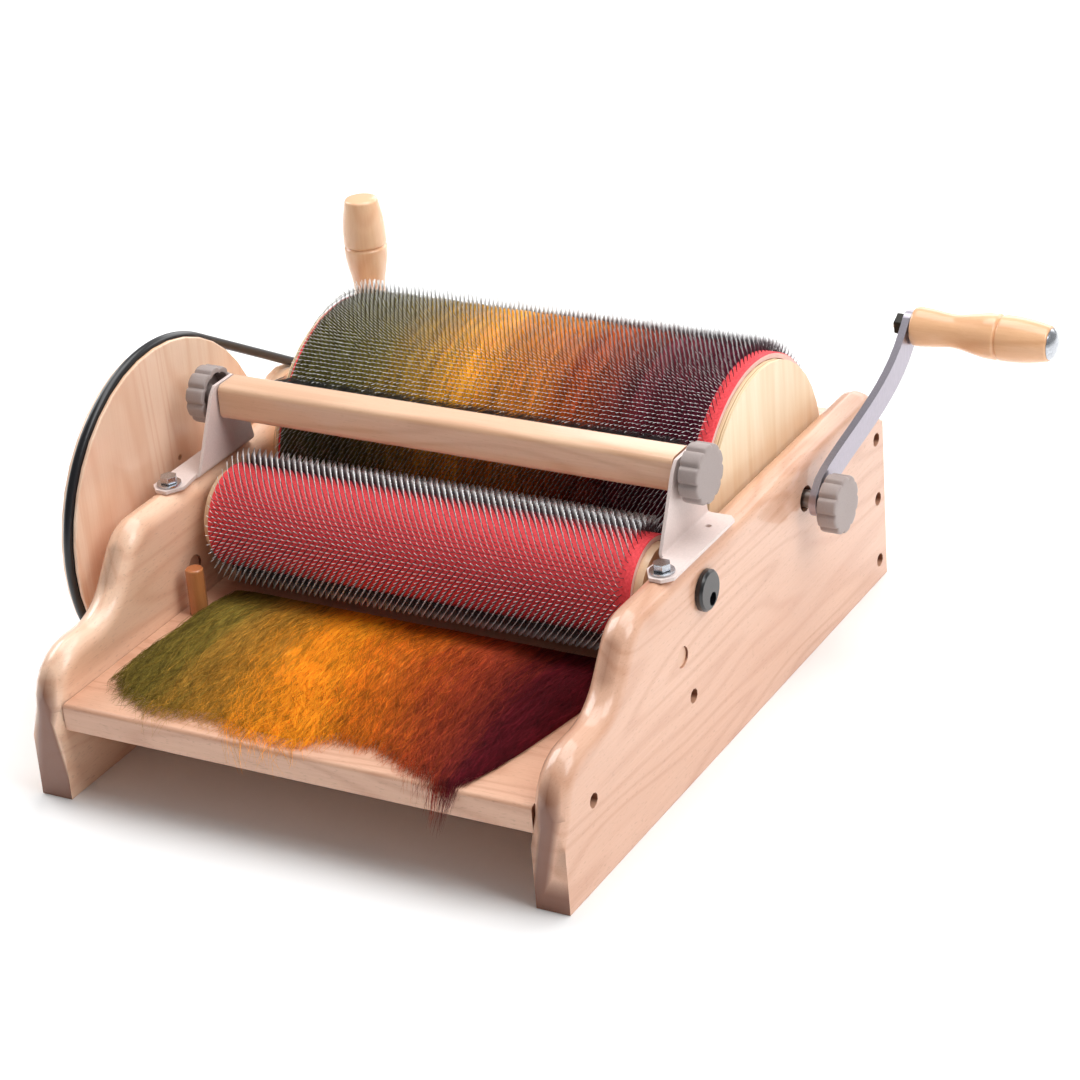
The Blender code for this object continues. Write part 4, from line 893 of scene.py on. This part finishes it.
def bristle_rows():
    """Tufts in five rows; each bristle bows a little and ends just clear of the wire teeth."""
    draw = np.random.RandomState(17)
    low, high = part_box("brush_bristles")
    tufts, rows, per_tuft = 75, 5, 13
    tuft, row, _ = np.meshgrid(np.arange(tufts), np.arange(rows), np.arange(per_tuft),
                               indexing="ij")
    tuft, row = tuft.ravel(), row.ravel()
    count = tuft.size
    x = low.x + 2 * MM + (high.x - low.x - 4 * MM) * (tuft + 0.5 * (row % 2)) / tufts
    height = (BRISTLE_ROOTS_MM[0] + BRISTLE_ROOTS_MM[1] * row) * MM
    height = height + draw.normal(0, 0.35 * MM, count)
    x = x + draw.normal(0, 0.6 * MM, count)
    start = np.stack([x, np.full(count, low.y - 0.2 * MM), height], -1)
    tip_height = (BRISTLE_TIPS_MM[0] + BRISTLE_TIPS_MM[1] * row) * MM
    tip_height = tip_height + draw.normal(0, 0.7 * MM, count)
    reach = drum_foot + CLEAR_OF_TEETH + np.abs(draw.normal(0, 1.0 * MM, count))
    tip_y = DRUM_AXIS[0] - np.sqrt(reach ** 2 - (tip_height - DRUM_AXIS[1]) ** 2)
    tip = np.stack([x + draw.normal(0, 1.3 * MM, count), tip_y, tip_height], -1)
    middle = (start + tip) / 2 + np.array((0, 0, 0.8 * MM))
    return strands("brush_bristle_rows", np.stack([start, middle, tip], 1),
                   np.array((0.2, 0.19, 0.12)) * MM)


add_piece("brush_bristle_rows", bristle_rows(), nylon_bristles("black_nylon_bristle"),
          "packing_brush", "bristle", "brush_bristles")

# --- Doffer ---------------------------------------------------------------------------------
# The doffer lifts a finished batt off the drum: a steel spike in a turned beech handle like
# the crank's. It stands in a hole drilled in the top edge of the left panel.
doffer_low, doffer_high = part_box("doffer_handle")
doffer_middle = (doffer_low + doffer_high) / 2
doffer_place = (doffer_middle.x, doffer_middle.y, doffer_low.z)
# The doffer's beech is painted paler than the crank handle's: painted light on it.
doffer_beech_painted_light = beech("turned_beech_doffer_painted_light", "Z", light="#FFD2A8", line="#EAAE82", end="#F2BE92",
                     offset=4.4)
doffer_handle = turned_handle("turned_doffer_handle", doffer_place, Vector((0, 0, 1)), True)
add_piece("turned_doffer_handle", doffer_handle, doffer_beech_painted_light, "doffer", slots["doffer_handle"],
          "doffer_handle")
finish_node("doffer_spike", shaft_steel)

# --- Wool on the feed tray ------------------------------------------------------------------
# Loose dyed locks wait on the tray with their back ends already under the licker-in. They
# are teased out by hand, so the layer is springy, uneven and frayed along its front.
TRAY_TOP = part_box("feed_tray")[1].z
TRAY_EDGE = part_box("feed_tray")[0].y + 2 * MM
PANEL_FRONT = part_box("side_panel_left")[0].y
FLEECE_BACK = PANEL_FRONT + 172 * MM
FLEECE_HALF = 147 * MM
# Share of the width and where the front of the layer lies, in mm behind the panels' front
FRAYED_FRONT = ((0.0, 44), (0.05, 28), (0.14, 13), (0.22, 19), (0.28, 9), (0.35, 8), (0.45, 27),
                (0.57, 28), (0.66, 17), (0.77, 4), (0.88, 2), (0.94, 16), (1.0, 40))
# The same, and how far the lock leans to the right by its front end, in mm
LOCK_LEAN = ((0.0, -7), (0.12, 0), (0.27, 24), (0.36, 40), (0.6, 25), (0.77, 20), (0.9, -4),
             (1.0, -20))
# Share of the way to the front, and how high the layer stands, in mm
FLEECE_HEIGHT = ((0.0, 1.8), (0.1, 4.6), (0.22, 8.2), (0.35, 9.5), (0.6, 8.0), (0.8, 4.6),
                 (0.92, 2.0), (1.0, 0.8), (1.2, 0.6))


def on_tray(across, forward):
    """Where a point of the layer lies: across it from the left, forward from the back."""
    front = PANEL_FRONT + MM * np.interp(across, *zip(*FRAYED_FRONT))
    lean = MM * np.interp(across, *zip(*LOCK_LEAN))
    x = MID_X + FLEECE_HALF * (2 * across - 1) + lean * np.abs(forward) ** 1.4
    y = FLEECE_BACK + (front - FLEECE_BACK) * forward
    return x, y


TRAY_DYES = ((0.0, "#7C6A30"), (0.09, "#84732F"), (0.16, "#B68938"), (0.25, "#CC8E2F"),
             (0.31, "#FFAA28"), (0.38, "#FFAC28"), (0.47, "#E07E1E"), (0.57, "#CC6A20"),
             (0.67, "#B84E28"), (0.76, "#9C3C28"), (0.86, "#6A1A24"), (1.0, "#5E101C"))
tray_wool = dyed_wool("teased_dyed_wool", TRAY_DYES, (1000 / 1.4, 1000 / 12, 1000 / 6), 0.15)

# The layer's body stops short of its frayed front, where only single fibres reach
LAYER_END = 0.93


def teased_layer():
    """The body of the layer, hummocky where the locks lie over each other."""
    draw = np.random.RandomState(8)
    across, forward = np.meshgrid(np.linspace(0, 1, 150), np.linspace(0, LAYER_END, 80),
                                  indexing="ij")
    hummocks = soft_noise(draw, across.shape, 120)
    tufts = soft_noise(draw, across.shape, 2)
    edge = np.clip(np.minimum(across, 1 - across) / 0.05, 0, 1) ** 0.5
    height = MM * np.interp(forward, *zip(*FLEECE_HEIGHT)) * (1 + 0.08 * hummocks + 0.02 * tufts)
    x, y = on_tray(across, forward)
    rim = np.clip((LAYER_END - forward) / 0.06, 0, 1) ** 0.5
    z = TRAY_TOP + 0.35 * MM + height * edge * (0.15 + 0.85 * rim)
    mesh = sheet_of("teased_wool_layer", np.stack([x, y, z], -1))
    return record_dye(mesh, across.ravel(), (1.1 + 0.06 * hummocks).ravel())


def teased_fibres(name, count, seed, front_only):
    """Single curling fibres over the layer, longer and looser at its frayed front."""
    draw = np.random.RandomState(seed)
    steps = 8
    across = draw.uniform(0.0, 1.0, count)
    length = draw.uniform(0.14, 0.4, count)
    first = draw.uniform(0.55, 0.86, count) if front_only else draw.uniform(-0.02, 0.8, count)
    last = np.minimum(first + length, 1.0 + 0.09 * draw.uniform(0, 1, count) ** 2)
    part = np.linspace(0, 1, steps)
    forward = first[:, None] + (last - first)[:, None] * part
    curl = draw.uniform(0.004, 0.02, count)[:, None] * np.sin(
        part * draw.uniform(2, 7, count)[:, None] + draw.uniform(0, 6.3, count)[:, None])
    fanned = np.clip(across[:, None] + curl * (0.5 + 0.9 * forward), 0.0, 1.0)
    x, y = on_tray(fanned, forward)
    x = x + draw.normal(0, 0.5 * MM, (count, steps))
    edge = np.clip(np.minimum(fanned, 1 - fanned) / 0.05, 0.1, 1) ** 0.5
    loft = draw.uniform(0.1, 1.0, count)[:, None] * 2.4 * np.sin(np.pi * part)
    loft = loft * np.clip(4 * forward - 0.3, 0.05, 1)
    height = np.interp(forward, *zip(*FLEECE_HEIGHT)) * edge
    height = height * draw.uniform(0.75, 1.12, count)[:, None]
    z = TRAY_TOP + MM * (0.4 + height + loft + np.abs(draw.normal(0, 0.25, (count, steps))))
    z = z - 1.3 * np.maximum(0, TRAY_EDGE - y)
    taper = np.array((0.4, 0.8, 1, 1, 1, 0.9, 0.7, 0.25))
    mesh = strands(name, np.stack([x, y, z], -1), taper * 0.13 * MM)
    dye = np.repeat(across + draw.normal(0, 0.03, count), steps * 3)
    return record_dye(mesh, dye, np.repeat(draw.uniform(0.8, 1.6, count), steps * 3))


add_piece("teased_wool_layer", teased_layer(), tray_wool, "frame", "wool", "tray_wool")
for part, (count, front_only) in enumerate(((3200, False), (3200, False), (3600, True))):
    name = f"teased_wool_fibres_{part + 1}"
    add_piece(name, teased_fibres(name, count, 40 + part, front_only), tray_wool, "frame", "wool")

# --- Sizes ----------------------------------------------------------------------------------
# The box of the dressed model; the CAD model's box was taken before it was dressed.
low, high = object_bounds()
